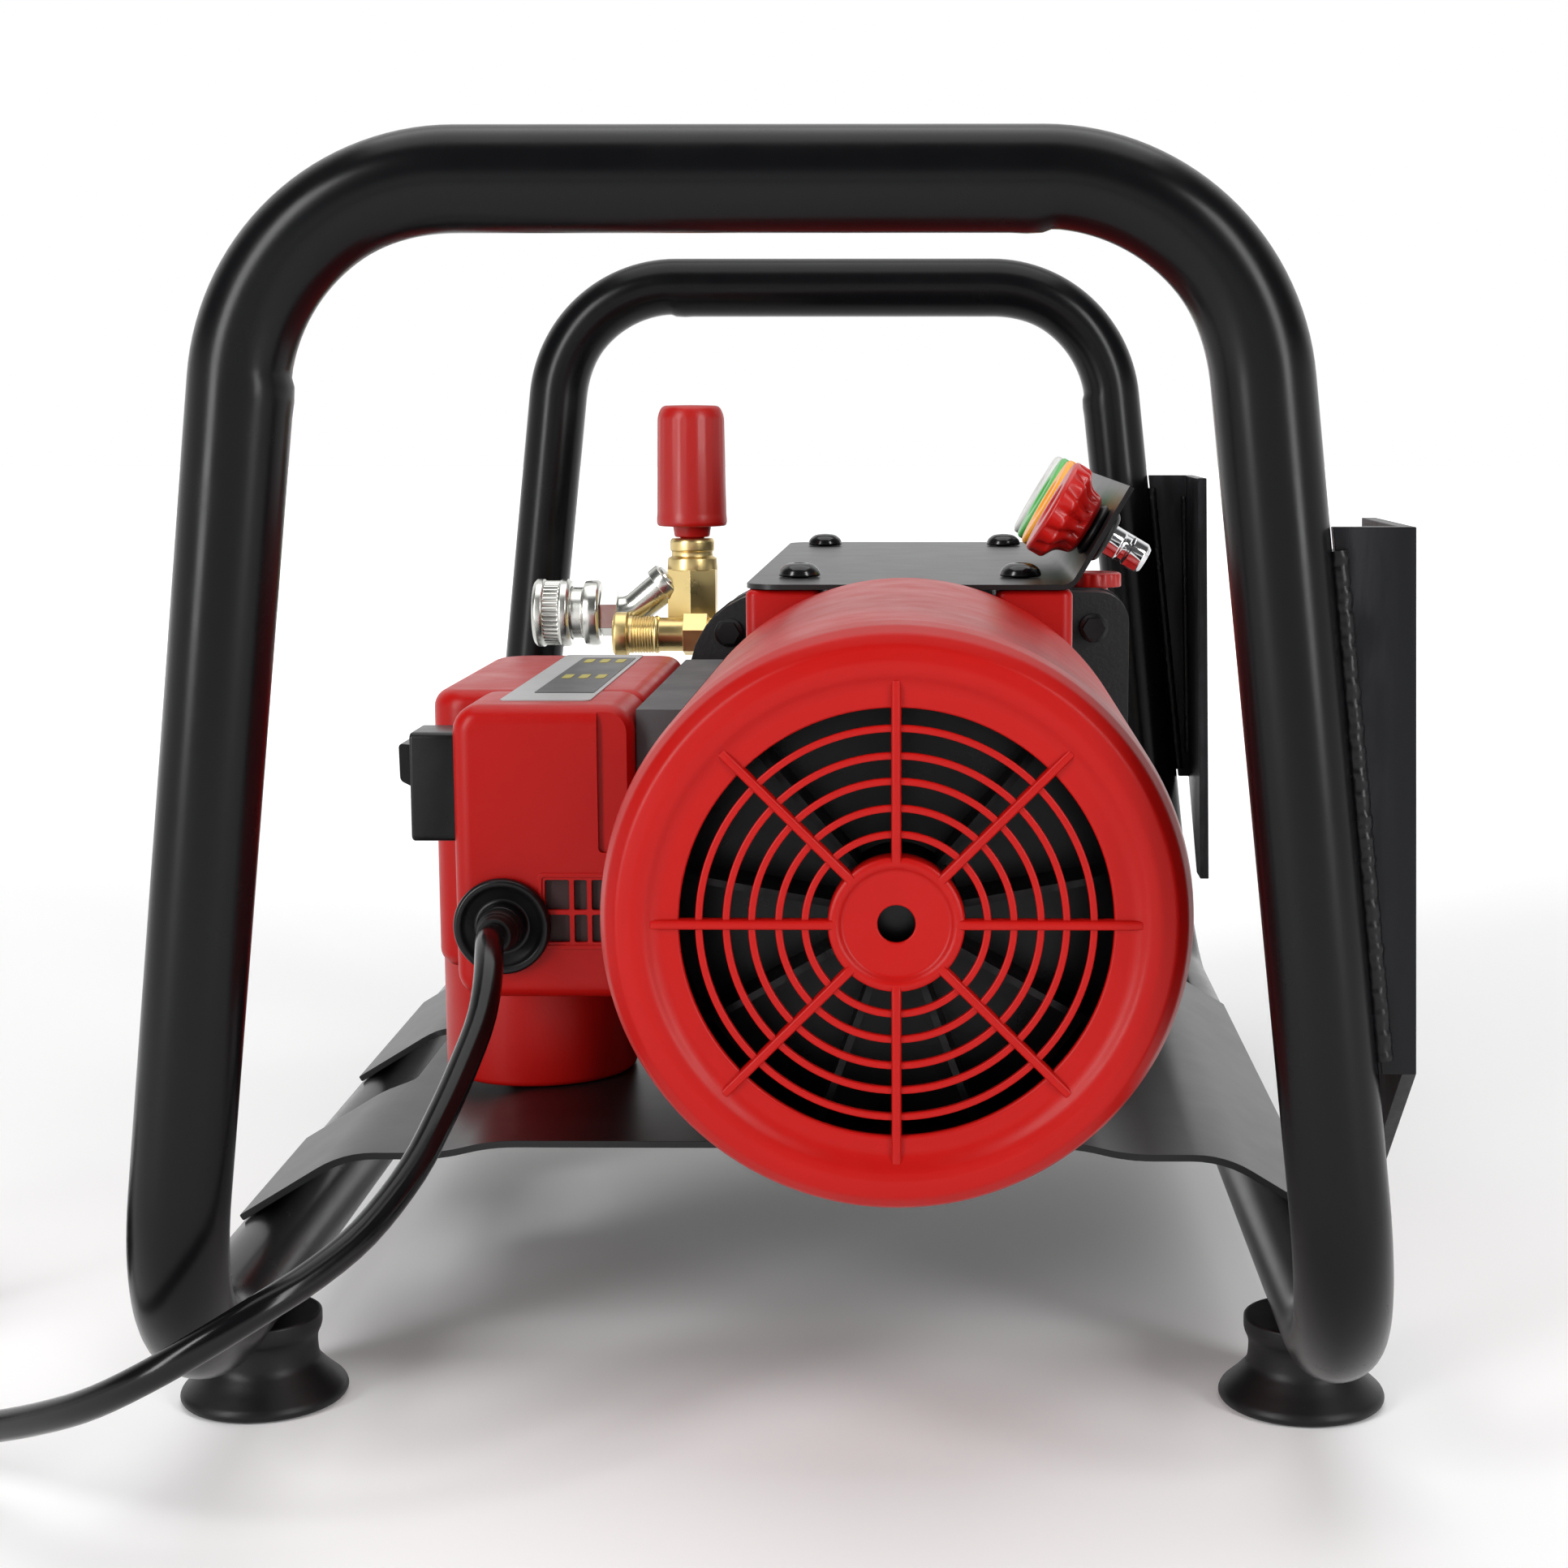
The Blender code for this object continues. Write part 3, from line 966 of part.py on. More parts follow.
# ======================================================================= cord
def smooth_through(route, spacing):
    """Even points on a Catmull-Rom curve through the route."""
    route = [Vector(p) for p in route]
    dense = []
    for i in range(len(route) - 1):
        p0 = route[max(i - 1, 0)]
        p1, p2 = route[i], route[i + 1]
        p3 = route[min(i + 2, len(route) - 1)]
        for k in range(24):
            t = k / 24
            dense.append(0.5 * ((2 * p1) + (p2 - p0) * t + (2 * p0 - 5 * p1 + 4 * p2 - p3) * t ** 2
                                + (3 * p1 - p0 - 3 * p2 + p3) * t ** 3))
    dense.append(route[-1])
    lengths = [0.0]
    for a, b in zip(dense, dense[1:]):
        lengths.append(lengths[-1] + (b - a).length)
    count = max(2, round(lengths[-1] / spacing))
    result = []
    index = 0
    for k in range(count + 1):
        target = lengths[-1] * k / count
        while index < len(dense) - 2 and lengths[index + 1] < target:
            index += 1
        span = lengths[index + 1] - lengths[index]
        t = 0.0 if span < 1e-9 else (target - lengths[index]) / span
        result.append(dense[index].lerp(dense[index + 1], t))
    return result


# The cord leaves the gland level, sags over the left rail, passes in front of the left leg and
# comes down to the ground beside the coil.
CORD_ROUTE = (
    (GLAND_X, BOX_Y0 - GLAND_COLLAR - RELIEF_L - 2 * GAP, GLAND_Z),
    (GLAND_X, -0.1760, GLAND_Z),
    (-0.0878, -0.1860, 0.1404),
    (-0.0864, -0.1975, 0.1345),
    (-0.0866, -0.2100, 0.1258),
    (-0.0892, -0.2240, 0.1162),
    (-0.0930, -0.2395, 0.1056),
    (-0.0985, -0.2560, 0.0940),
    (-0.1080, -0.2740, 0.0825),
    (-0.1185, -0.2885, 0.0755),
    (-0.1300, -0.3000, 0.0700),
    (-0.1450, -0.3065, 0.0618),
    (-0.1600, -0.3060, 0.0530),
    (-0.1770, -0.2985, 0.0430),
    (-0.1950, -0.2865, 0.0340),
    (-0.2150, -0.2710, 0.0250),
    (-0.2370, -0.2530, 0.0160),
    (-0.2600, -0.2425, 0.0090),
    (-0.2830, -0.2345, 0.0057),
    (-0.3060, -0.2290, 0.0048),
    (-0.3290, -0.2258, 0.0047),
    (-0.3520, -0.2246, 0.0047),
)


def cord():
    curve = bpy.data.curves.new("power_cord", 'CURVE')
    curve.dimensions = '3D'
    curve.bevel_depth = CORD_R
    curve.bevel_resolution = 2
    curve.use_fill_caps = True
    spline = curve.splines.new('POLY')
    points = [Vector(CORD_ROUTE[0])] + smooth_through(CORD_ROUTE[1:], 2.5 * 2 * CORD_R)
    spline.points.add(len(points) - 1)
    for slot, point in zip(spline.points, points):
        slot.co = (*point, 1.0)
    obj = bpy.data.objects.new("power_cord", curve)
    obj.data.materials.append(CORD_RUBBER)
    bpy.context.scene.collection.objects.link(obj)
    # strain relief boot round the first stretch
    start = GLAND_COLLAR + GAP
    tip = start + RELIEF_L
    profile = ((0.0, -RELIEF_TAIL), (CORD_R, -RELIEF_TAIL), (CORD_R, start),
               (GLAND_NECK_R - 0.0002, start), (GLAND_NECK_R - 0.0004, start + 0.3 * RELIEF_L),
               (RELIEF_TIP_R, tip), (0.0, tip))
    add_object("strain_relief", revolve(profile, 14), BLACK_RUBBER,
               along((0, -1, 0), (GLAND_X, BOX_Y0, GLAND_Z)))
    inner, outer = COIL_MID_R - COIL_HALF_W, COIL_MID_R + COIL_HALF_W
    low, high = GAP, COIL_H
    profile = ((inner, low + 0.006), (inner + 0.006, low), (outer - 0.006, low), (outer, low + 0.006),
               (outer, high - 0.006), (outer - 0.006, high), (inner + 0.006, high), (inner, high - 0.006))
    add_object("cord_coil", revolve(profile, 28), CORD_RUBBER, Matrix.Translation((COIL_X, COIL_Y, 0)))
    # plug lying on the coil's outer side, in line with its turns
    plug_x = COIL_X - COIL_MID_R
    low = COIL_H + GAP
    y0, y1 = COIL_Y + PLUG_START, COIL_Y + PLUG_START + PLUG_L
    outline = rounded(plug_x - PLUG_W / 2, plug_x + PLUG_W / 2, y0, y1, 0.006, 2)
    plug = add_object("mains_plug", prism(outline, low, low + PLUG_H), BLACK_RUBBER, smooth=False)
    axis_z = low + PLUG_H / 2
    join(plug, moved(prism(circle(plug_x, axis_z, PLUG_NECK_R, 12), y0 - PLUG_NECK_L, y0 + 0.004), along_y()))
    for mirror in (-1, 1):
        pin = circle(plug_x + mirror * PIN_SPACING / 2, axis_z, PIN_R, 8)
        join(plug, moved(prism(pin, y1 - 0.002, y1 + PIN_L), along_y()))


def build():
    clear_scene()
    frame_tubes()
    feet()
    deck()
    brackets()
    cowl()
    motor()
    pump()
    switch_box()
    top_plate()
    cord()


build()
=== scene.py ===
import math

import bmesh
import bpy
from mathutils import Matrix, Vector


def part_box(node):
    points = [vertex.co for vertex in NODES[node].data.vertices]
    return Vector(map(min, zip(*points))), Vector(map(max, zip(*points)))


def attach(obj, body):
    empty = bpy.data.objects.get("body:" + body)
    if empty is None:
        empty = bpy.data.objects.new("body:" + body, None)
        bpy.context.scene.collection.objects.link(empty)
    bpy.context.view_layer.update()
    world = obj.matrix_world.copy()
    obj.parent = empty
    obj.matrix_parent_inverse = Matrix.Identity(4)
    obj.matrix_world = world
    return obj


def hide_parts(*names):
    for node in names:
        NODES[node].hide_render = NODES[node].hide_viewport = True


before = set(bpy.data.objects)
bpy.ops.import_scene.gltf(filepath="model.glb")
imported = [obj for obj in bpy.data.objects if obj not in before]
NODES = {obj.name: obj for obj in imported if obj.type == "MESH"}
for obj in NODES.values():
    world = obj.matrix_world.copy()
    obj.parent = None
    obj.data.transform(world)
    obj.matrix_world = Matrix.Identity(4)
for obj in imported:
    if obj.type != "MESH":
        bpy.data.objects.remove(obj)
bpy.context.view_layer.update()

SCENE = bpy.context.scene
SCENE.view_settings.view_transform = 'Standard'

# ======================================================================= sizes
MM = 0.001
GAP = 0.0003
TUBE_R = 0.0135
HOOP_Y = 0.282
TOP_Z = 0.3623
LEG_HALF, LEG_REF_Z, LEG_SPLAY = 0.1381, 0.25, 0.1129
RAIL_Z = 0.0405
TOP_BEND_R, BOTTOM_BEND_R = 0.057, 0.055
AXIS_X, AXIS_Z = 0.0368, 0.1650
COWL_R, COWL_REAR_R, COWL_WALL = 0.0825, 0.0765, 0.0025
GRILLE_RINGS = (0.0250, 0.0322, 0.0396, 0.0466, 0.0541)
RING_HALF = 0.00106
SPOKES, SPOKE_HALF = 8, 0.0014
CORD_R = 0.0044
CORD_LENGTH = 5.0
COIL_X, COIL_Y = -0.3720, -0.1500
GLAND_X, GLAND_Z, BOX_Y0 = -0.0894, 0.1428, -0.1500
FLANGE_ANGLE = math.radians(59.5)
PLATE_X, PLATE_W, PLATE_T = 0.0385, 0.1140, 0.0018
SCREW_X, SCREW_Y = 0.040, (-0.018, 0.207)       # the plate's screws: either side of PLATE_X, front and rear


def leg_x(z):
    return LEG_HALF + LEG_SPLAY * (LEG_REF_Z - z)


# ======================================================================= camera
def camera():
    """Stands before the fan end, a little above the motor, with the lens shifted to the left."""
    data = bpy.data.cameras.new("camera")
    data.sensor_width = 36.0
    data.lens = 58.70
    data.shift_x = -0.0787
    data.shift_y = -0.0026
    data.clip_start = 0.05
    data.clip_end = 50.0
    cam = bpy.data.objects.new("camera", data)
    SCENE.collection.objects.link(cam)
    cam.location = (0.0463, -0.9450, 0.3032)
    cam.rotation_euler = (math.radians(90 - 8.14), 0.0, math.radians(0.54))
    SCENE.camera = cam


camera()


# ======================================================================= materials
def map_range(tree, value, low, high, to_low, to_high, smooth=False):
    """Maps a socket from one range to another."""
    node = tree.nodes.new("ShaderNodeMapRange")
    if smooth:
        node.interpolation_type = 'SMOOTHSTEP'
    for socket, limit in (("From Min", low), ("From Max", high), ("To Min", to_low), ("To Max", to_high)):
        node.inputs[socket].default_value = limit
    tree.links.new(value, node.inputs["Value"])
    return node.outputs["Result"]


def maths(tree, operation, *values):
    node = tree.nodes.new("ShaderNodeMath")
    node.operation = operation
    for socket, value in zip(node.inputs, values):
        tree.links.new(value, socket)
    return node.outputs["Value"]


def surface(name, colour, roughness, metallic=0.0, grain=0.0, grain_mm=0.8, blotch=0.05, rough_vary=0.05,
            wear=0.0, wear_colour=(0.3, 0.3, 0.3), dust=0.0, coat=0.0, stretch=(1, 1, 1), speckle=0.0,
            specular=0.5):
    """A Principled material with its own colour patches, roughness patches, grain, rubbed edges and dust."""
    mat = bpy.data.materials.new(name)
    mat.use_nodes = True
    nodes, links = mat.node_tree.nodes, mat.node_tree.links
    shader = nodes["Principled BSDF"]
    shader.inputs["Metallic"].default_value = metallic
    shader.inputs["Coat Weight"].default_value = coat
    shader.inputs["Coat Roughness"].default_value = 0.12
    shader.inputs["Specular IOR Level"].default_value = specular
    coords = nodes.new("ShaderNodeTexCoord")
    mapping = nodes.new("ShaderNodeMapping")
    mapping.inputs["Scale"].default_value = stretch
    links.new(coords.outputs["Object"], mapping.inputs["Vector"])

    def noise(scale, detail, roughness_value=0.55):
        node = nodes.new("ShaderNodeTexNoise")
        node.inputs["Scale"].default_value = scale
        node.inputs["Detail"].default_value = detail
        node.inputs["Roughness"].default_value = roughness_value
        links.new(mapping.outputs["Vector"], node.inputs["Vector"])
        return node.outputs["Fac"]

    def remap(value, low, high, to_low, to_high):
        return map_range(mat.node_tree, value, low, high, to_low, to_high)

    def mixed(factor, first, second):
        node = nodes.new("ShaderNodeMix")
        node.data_type = 'RGBA'
        links.new(factor, node.inputs["Factor"])
        for socket, value in ((node.inputs[6], first), (node.inputs[7], second)):
            if isinstance(value, tuple):
                socket.default_value = (*value, 1.0)
            else:
                links.new(value, socket)
        return node.outputs[2]

    def product(first, second):
        return maths(mat.node_tree, 'MULTIPLY', first, second)

    patches = noise(23.0, 4.0)
    dark = tuple(c * (1 - blotch) for c in colour)
    light = tuple(min(c * (1 + blotch), 1.0) for c in colour)
    shade = mixed(remap(patches, 0.3, 0.7, 0.0, 1.0), dark, light)
    if speckle > 0:
        dots = noise(1600.0, 1.0)
        shade = mixed(remap(dots, 0.62, 0.72, 0.0, speckle), shade,
                      tuple(min(c * 2.4 + 0.02, 1) for c in colour))
    if wear > 0:
        geometry = nodes.new("ShaderNodeNewGeometry")
        edge = remap(geometry.outputs["Pointiness"], 0.53, 0.60, 0.0, 1.0)
        rubbed = product(edge, remap(noise(140.0, 3.0), 0.42, 0.62, 0.0, wear))
        shade = mixed(rubbed, shade, wear_colour)
    if dust > 0:
        geometry = nodes.new("ShaderNodeNewGeometry")
        up = nodes.new("ShaderNodeSeparateXYZ")
        links.new(geometry.outputs["Normal"], up.inputs["Vector"])
        film = product(remap(up.outputs["Z"], 0.3, 1.0, 0.0, 1.0),
                       remap(noise(55.0, 5.0), 0.42, 0.75, 0.0, dust))
        shade = mixed(film, shade, (0.42, 0.41, 0.40))
    links.new(shade, shader.inputs["Base Color"])
    rough = remap(noise(61.0, 5.0), 0.3, 0.7, max(roughness - rough_vary, 0.02), roughness + rough_vary)
    links.new(rough, shader.inputs["Roughness"])
    if grain > 0:
        bump = nodes.new("ShaderNodeBump")
        bump.inputs["Strength"].default_value = grain
        bump.inputs["Distance"].default_value = 0.0002
        links.new(noise(1.0 / (grain_mm * MM), 3.0), bump.inputs["Height"])
        links.new(bump.outputs["Normal"], shader.inputs["Normal"])
    return mat


COAT = surface("frame_coat_look", (0.0026, 0.0027, 0.0032), 0.25, grain=0.035, grain_mm=1.3, blotch=0.12,
               rough_vary=0.03, dust=0.006, specular=0.20)
SHEET = surface("sheet_coat_look", (0.0060, 0.0060, 0.0066), 0.35, grain=0.08, grain_mm=1.0,
                rough_vary=0.015, dust=0.006, specular=0.38)
BRACKET = surface("bracket_coat_look", (0.0045, 0.0047, 0.0060), 0.32, grain=0.35, grain_mm=2.6, blotch=0.2,
                  stretch=(1.0, 1.0, 0.22), wear=0.3, wear_colour=(0.05, 0.05, 0.055), specular=0.2)
WELD = surface("weld_coat_look", (0.0045, 0.0045, 0.0055), 0.30, grain=0.5, grain_mm=1.4, blotch=0.2,
               specular=0.25)
RED = surface("red_plastic_look", (0.40, 0.0045, 0.0030), 0.36, grain=0.13, grain_mm=0.55, blotch=0.035,
              wear=0.25, wear_colour=(0.46, 0.02, 0.015), specular=0.19)
RED_GLOSS = surface("red_knob_look", (0.39, 0.006, 0.004), 0.34, grain=0.04, grain_mm=0.7, blotch=0.04,
                    specular=0.4)
CAST = surface("dark_cast_look", (0.012, 0.0125, 0.014), 0.52, metallic=0.2, grain=0.55, grain_mm=1.5,
               blotch=0.18, speckle=0.25, wear=0.4, wear_colour=(0.14, 0.14, 0.15))
PAD = surface("pad_look", (0.062, 0.064, 0.067), 0.66, grain=0.25, grain_mm=0.9, blotch=0.1, dust=0.10)
RUBBER = surface("rubber_look", (0.0048, 0.0048, 0.0052), 0.42, grain=0.16, grain_mm=0.8, blotch=0.12,
                 dust=0.01, specular=0.3)
BLACK = surface("black_plastic_look", (0.0040, 0.0040, 0.0046), 0.32, grain=0.12, grain_mm=0.6, blotch=0.08,
                rough_vary=0.06, specular=0.3)
JACKET = surface("cord_jacket_look", (0.0030, 0.0030, 0.0034), 0.19, grain=0.05, grain_mm=2.2, blotch=0.1,
                 specular=0.28)
SCREW = surface("black_screw_look", (0.008, 0.008, 0.009), 0.20, metallic=0.35, grain=0.03, coat=0.2)
STEEL = surface("steel_look", (0.52, 0.52, 0.53), 0.32, metallic=1.0, grain=0.05, grain_mm=0.4,
                stretch=(1, 14, 1), rough_vary=0.08)
LAMINATION = surface("lamination_look", (0.28, 0.28, 0.30), 0.45, metallic=0.8, grain=0.5, grain_mm=0.7,
                     stretch=(0.1, 12, 0.1))
ALU = surface("cast_aluminium_look", (0.50, 0.50, 0.51), 0.46, metallic=0.9, grain=0.4, grain_mm=1.4,
              blotch=0.08, rough_vary=0.09)
BRASS = surface("brass_look", (0.78, 0.60, 0.27), 0.33, metallic=1.0, grain=0.06, grain_mm=0.8, blotch=0.07,
                rough_vary=0.08)
CHROME = surface("chrome_look", (0.80, 0.80, 0.82), 0.10, metallic=1.0, grain=0.02, blotch=0.02,
                 rough_vary=0.04)
NICKEL = surface("nickel_look", (0.66, 0.66, 0.62), 0.25, metallic=1.0, grain=0.04, grain_mm=0.5,
                 blotch=0.03, rough_vary=0.06)
LABEL = surface("label_look", (0.40, 0.40, 0.40), 0.42, metallic=0.25, grain=0.03, blotch=0.04)
LABEL_DARK = surface("label_dark_look", (0.030, 0.030, 0.032), 0.40, blotch=0.1, grain=0.03)
MARK = surface("mark_yellow_look", (0.40, 0.34, 0.03), 0.45, blotch=0.05, grain=0.03)
# painted shade: a very dark red for the floors of the vent's pockets, standing in for the shade that falls in
# the recesses
PAINTED_SHADE_RED = surface("vent_painted_shade_look", (0.022, 0.0012, 0.0012), 0.60, grain=0.1, blotch=0.1)
NOZZLE_LOOKS = {
    "red": surface("nozzle_red_look", (0.46, 0.008, 0.006), 0.30, grain=0.05, blotch=0.03),
    "yellow": surface("nozzle_yellow_look", (0.86, 0.33, 0.003), 0.32, grain=0.05, blotch=0.03),
    "green": surface("nozzle_green_look", (0.07, 0.40, 0.07), 0.32, grain=0.05, blotch=0.03),
    "white": surface("nozzle_white_look", (0.66, 0.66, 0.64), 0.34, grain=0.05, blotch=0.02)}


# ======================================================================= mesh helpers
def finish_mesh(name, bm, mat, body="chassis", slot=None, replaces=(), bevel=0.0, segments=3, angle=32.0,
                matrix=None):
    """Makes a piece from a bmesh, softens its hard edges and lets it ride its body."""
    if matrix is not None:
        bmesh.ops.transform(bm, matrix=matrix, verts=bm.verts)
    bmesh.ops.recalc_face_normals(bm, faces=bm.faces)
    mesh = bpy.data.meshes.new(name)
    bm.to_mesh(mesh)
    bm.free()
    mesh.shade_smooth()
    mesh.set_sharp_from_angle(angle=math.radians(angle))
    obj = bpy.data.objects.new(name, mesh)
    SCENE.collection.objects.link(obj)
    mesh.materials.append(mat)
    if bevel > 0:
        soften_edges(obj, bevel, segments)
    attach(obj, body)
    if replaces:
        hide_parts(*replaces)
    return obj


def stand_in(node, bm, mat, **rest):
    """A piece that takes the place of one CAD node."""
    return finish_mesh(node + "_look", bm, mat, replaces=[node], **rest)


def soften_edges(obj, width, segments=3, angle=28.0):
    mod = obj.modifiers.new("edge", 'BEVEL')
    mod.width = width
    mod.segments = segments
    mod.limit_method = 'ANGLE'
    mod.angle_limit = math.radians(angle)
    mod.harden_normals = True
    mod.use_clamp_overlap = True


def boolean(obj, bm, operation='DIFFERENCE'):
    """Cuts or joins a solid at once, before the edges are softened."""
    bmesh.ops.recalc_face_normals(bm, faces=bm.faces)
    mesh = bpy.data.meshes.new("cutter")
    bm.to_mesh(mesh)
    bm.free()
    cutter = bpy.data.objects.new("cutter", mesh)
    SCENE.collection.objects.link(cutter)
    mod = obj.modifiers.new("cut", 'BOOLEAN')
    mod.operation = operation
    mod.solver = 'EXACT'
    mod.object = cutter
    while obj.modifiers[0] != mod:
        obj.modifiers.move(len(obj.modifiers) - 1, 0)
    graph = bpy.context.evaluated_depsgraph_get()
    edges = [m for m in obj.modifiers if m != mod]
    for other in edges:
        other.show_viewport = False
    graph.update()
    result = bpy.data.meshes.new_from_object(obj.evaluated_get(graph))
    for other in edges:
        other.show_viewport = True
    obj.modifiers.remove(mod)
    bpy.data.objects.remove(cutter, do_unlink=True)
    result.shade_smooth()
    result.set_sharp_from_angle(angle=math.radians(32))
    obj.data = result


def along(axis, position):
    """Turns +Z to the axis and moves to the position."""
    turn = Vector((0, 0, 1)).rotation_difference(Vector(axis).normalized()).to_matrix().to_4x4()
    return Matrix.Translation(position) @ turn


XZ = Matrix(((1, 0, 0, 0), (0, 0, 1, 0), (0, 1, 0, 0), (0, 0, 0, 1)))   # outlines in XZ, run along Y
YZ = Matrix(((0, 0, 1, 0), (1, 0, 0, 0), (0, 1, 0, 0), (0, 0, 0, 1)))   # outlines in YZ, run along X


def rounded_path(points, radius, steps=4):
    """Replaces each corner by a curve; a point may carry its own radius as a third number."""
    result = []
    count = len(points)
    for i, point in enumerate(points):
        here = Vector(point[:2])
        own = point[2] if len(point) > 2 else radius
        if own <= 0:
            result.append(tuple(here))
            continue
        before = Vector(points[i - 1][:2]) - here
        after = Vector(points[(i + 1) % count][:2]) - here
        reach = min(own, 0.48 * before.length, 0.48 * after.length)
        start, end = here + before.normalized() * reach, here + after.normalized() * reach
        for k in range(steps + 1):
            t = k / steps
            result.append(tuple(start * (1 - t) ** 2 + here * 2 * t * (1 - t) + end * t ** 2))
    return result


def lathe(profile, steps=64, radius=0.0004, corner_steps=3, flutes=0, depth=0.0, flute_z=None):
    """Turns a closed (r, z) outline about Z with rounded corners; flutes groove a band of it."""
    profile = [p if p[0] > 1e-6 else (0.0, p[1], 0.0) for p in profile]
    outline = rounded_path(profile, radius, corner_steps)
    bm = bmesh.new()
    rings = []
    for r, z in outline:
        if r < 1e-6:
            rings.append([bm.verts.new((0, 0, z))])
            continue
        ring = []
        for i in range(steps):
            a = 2 * math.pi * i / steps
            rr = r
            if flutes and flute_z[0] <= z <= flute_z[1] and r > flute_z[2]:
                rr = r - depth * (0.5 - 0.5 * math.cos(flutes * a)) ** 2
            ring.append(bm.verts.new((rr * math.cos(a), rr * math.sin(a), z)))
        rings.append(ring)
    for k, lower in enumerate(rings):
        upper = rings[(k + 1) % len(rings)]
        if len(lower) == 1 and len(upper) == 1:
            continue
        for i in range(steps):
            j = (i + 1) % steps
            if len(lower) == 1:
                bm.faces.new((lower[0], upper[i], upper[j]))
            elif len(upper) == 1:
                bm.faces.new((lower[i], lower[j], upper[0]))
            else:
                bm.faces.new((lower[i], lower[j], upper[j], upper[i]))
    return bm


def prism(outline, low, high):
    """An outline in XY, run from z = low to high."""
    bm = bmesh.new()
    base = [bm.verts.new((p[0], p[1], low)) for p in outline]
    top = [bm.verts.new((p[0], p[1], high)) for p in outline]
    count = len(outline)
    for i in range(count):
        j = (i + 1) % count
        bm.faces.new((base[i], base[j], top[j], top[i]))
    bm.faces.new(list(reversed(base)))
    bm.faces.new(top)
    return bm


def rectangle(x0, x1, y0, y1, radii, steps=6):
    """A rounded rectangle; four radii start at its lower right corner and go round anticlockwise."""
    if isinstance(radii, (int, float)):
        radii = (radii,) * 4
    corners = ((x1, y0, -1, 1), (x1, y1, -1, -1), (x0, y1, 1, -1), (x0, y0, 1, 1))
    points = []
    for k, ((x, y, sx, sy), radius) in enumerate(zip(corners, radii)):
        cx, cy = x + sx * radius, y + sy * radius
        for i in range(steps + 1):
            a = -math.pi / 2 + (math.pi / 2) * (k + i / steps)
            points.append((cx + radius * math.cos(a), cy + radius * math.sin(a)))
    return points


def circle(x, y, radius, steps=32, phase=0.0):
    return [(x + radius * math.cos(phase + 2 * math.pi * i / steps),
             y + radius * math.sin(phase + 2 * math.pi * i / steps)) for i in range(steps)]


def loft(rings, cap_start=True, cap_end=True):
    """Joins outlines of the same count, each a list of 3D points."""
    bm = bmesh.new()
    made = [[bm.verts.new(p) for p in ring] for ring in rings]
    for lower, upper in zip(made, made[1:]):
        for i in range(len(lower)):
            j = (i + 1) % len(lower)
            bm.faces.new((lower[i], lower[j], upper[j], upper[i]))
    if cap_start:
        bm.faces.new(list(reversed(made[0])))
    if cap_end:
        bm.faces.new(made[-1])
    return bm


def flat_ring(outer, inner, start, end):
    """The ring between two outlines in XZ, from y = start to end."""
    rows = [[(u, y, v) for u, v in outline]
            for outline, y in ((outer, start), (outer, end), (inner, end), (inner, start))]
    return loft(rows + rows[:1], False, False)


def pillow(x0, x1, y0, y1, radii, low, high, edge, at_low=True, at_high=True, steps=5):
    """A rounded rectangle from z = low to high whose edges at either end are rounded too."""
    if isinstance(radii, (int, float)):
        radii = (radii,) * 4
    rings, stack = [], []
    if at_low:
        for k in range(steps + 1):
            a = math.pi / 2 * k / steps
            stack.append((edge * (1 - math.sin(a)), low + edge * (1 - math.cos(a))))
    else:
        stack.append((0.0, low))
    if at_high:
        for k in range(steps + 1):
            a = math.pi / 2 * k / steps
            stack.append((edge * (1 - math.cos(a)), high - edge * (1 - math.sin(a))))
    else:
        stack.append((0.0, high))
    for inset, z in stack:
        own = [max(r - inset, 0.0004) for r in radii]
        rings.append([(x, y, z) for x, y in rectangle(x0 + inset, x1 - inset, y0 + inset, y1 - inset, own)])
    return loft(rings)


def sweep(points, radius, sides=24, closed=False, scale=None):
    """A round bar along points; scale(i, angle) may change its radius."""
    bm = bmesh.new()
    count = len(points)
    tangents = []
    for i in range(count):
        before = points[i - 1] if closed or i > 0 else points[i]
        after = points[(i + 1) % count] if closed or i < count - 1 else points[i]
        tangents.append((after - before).normalized())
    reference = Vector((0, 0, 1)) if abs(tangents[0].z) < 0.9 else Vector((1, 0, 0))
    normal = tangents[0].cross(reference).normalized()
    frames = []
    for tangent in tangents:
        normal = (normal - tangent * normal.dot(tangent)).normalized()
        frames.append((normal.copy(), tangent.cross(normal).normalized()))
    twist = 0.0
    if closed:
        last = (normal - tangents[0] * normal.dot(tangents[0])).normalized()
        first, other = frames[0]
        twist = math.atan2(last.dot(other), last.dot(first))
    rings = []
    for i, point in enumerate(points):
        side, up = frames[i]
        ring = []
        for k in range(sides):
            a = 2 * math.pi * k / sides - twist * i / count
            r = radius * (scale(i, a) if scale else 1.0)
            ring.append(bm.verts.new(point + r * (math.cos(a) * side + math.sin(a) * up)))
        rings.append(ring)
    pairs = list(zip(rings, rings[1:]))
    if closed:
        pairs.append((rings[-1], rings[0]))
    for lower, upper in pairs:
        for k in range(sides):
            j = (k + 1) % sides
            bm.faces.new((lower[k], lower[j], upper[j], upper[k]))
    if not closed:
        bm.faces.new(list(reversed(rings[0])))
        bm.faces.new(rings[-1])
    return bm


def arc(centre, start, toward, radius, sweep_angle, steps):
    return [centre + radius * (math.cos(sweep_angle * i / steps) * start
                               + math.sin(sweep_angle * i / steps) * toward) for i in range(steps + 1)]


def straight(a, b, spacing):
    """Points between a and b, both ends left out."""
    count = max(1, int((b - a).length / spacing))
    return [a.lerp(b, i / count) for i in range(1, count)]


def merge(target, *others):
    """Adds other bmeshes to the first as loose shells."""
    for other in others:
        mesh = bpy.data.meshes.new("part")
        other.to_mesh(mesh)
        other.free()
        target.from_mesh(mesh)
        bpy.data.meshes.remove(mesh)
    return target


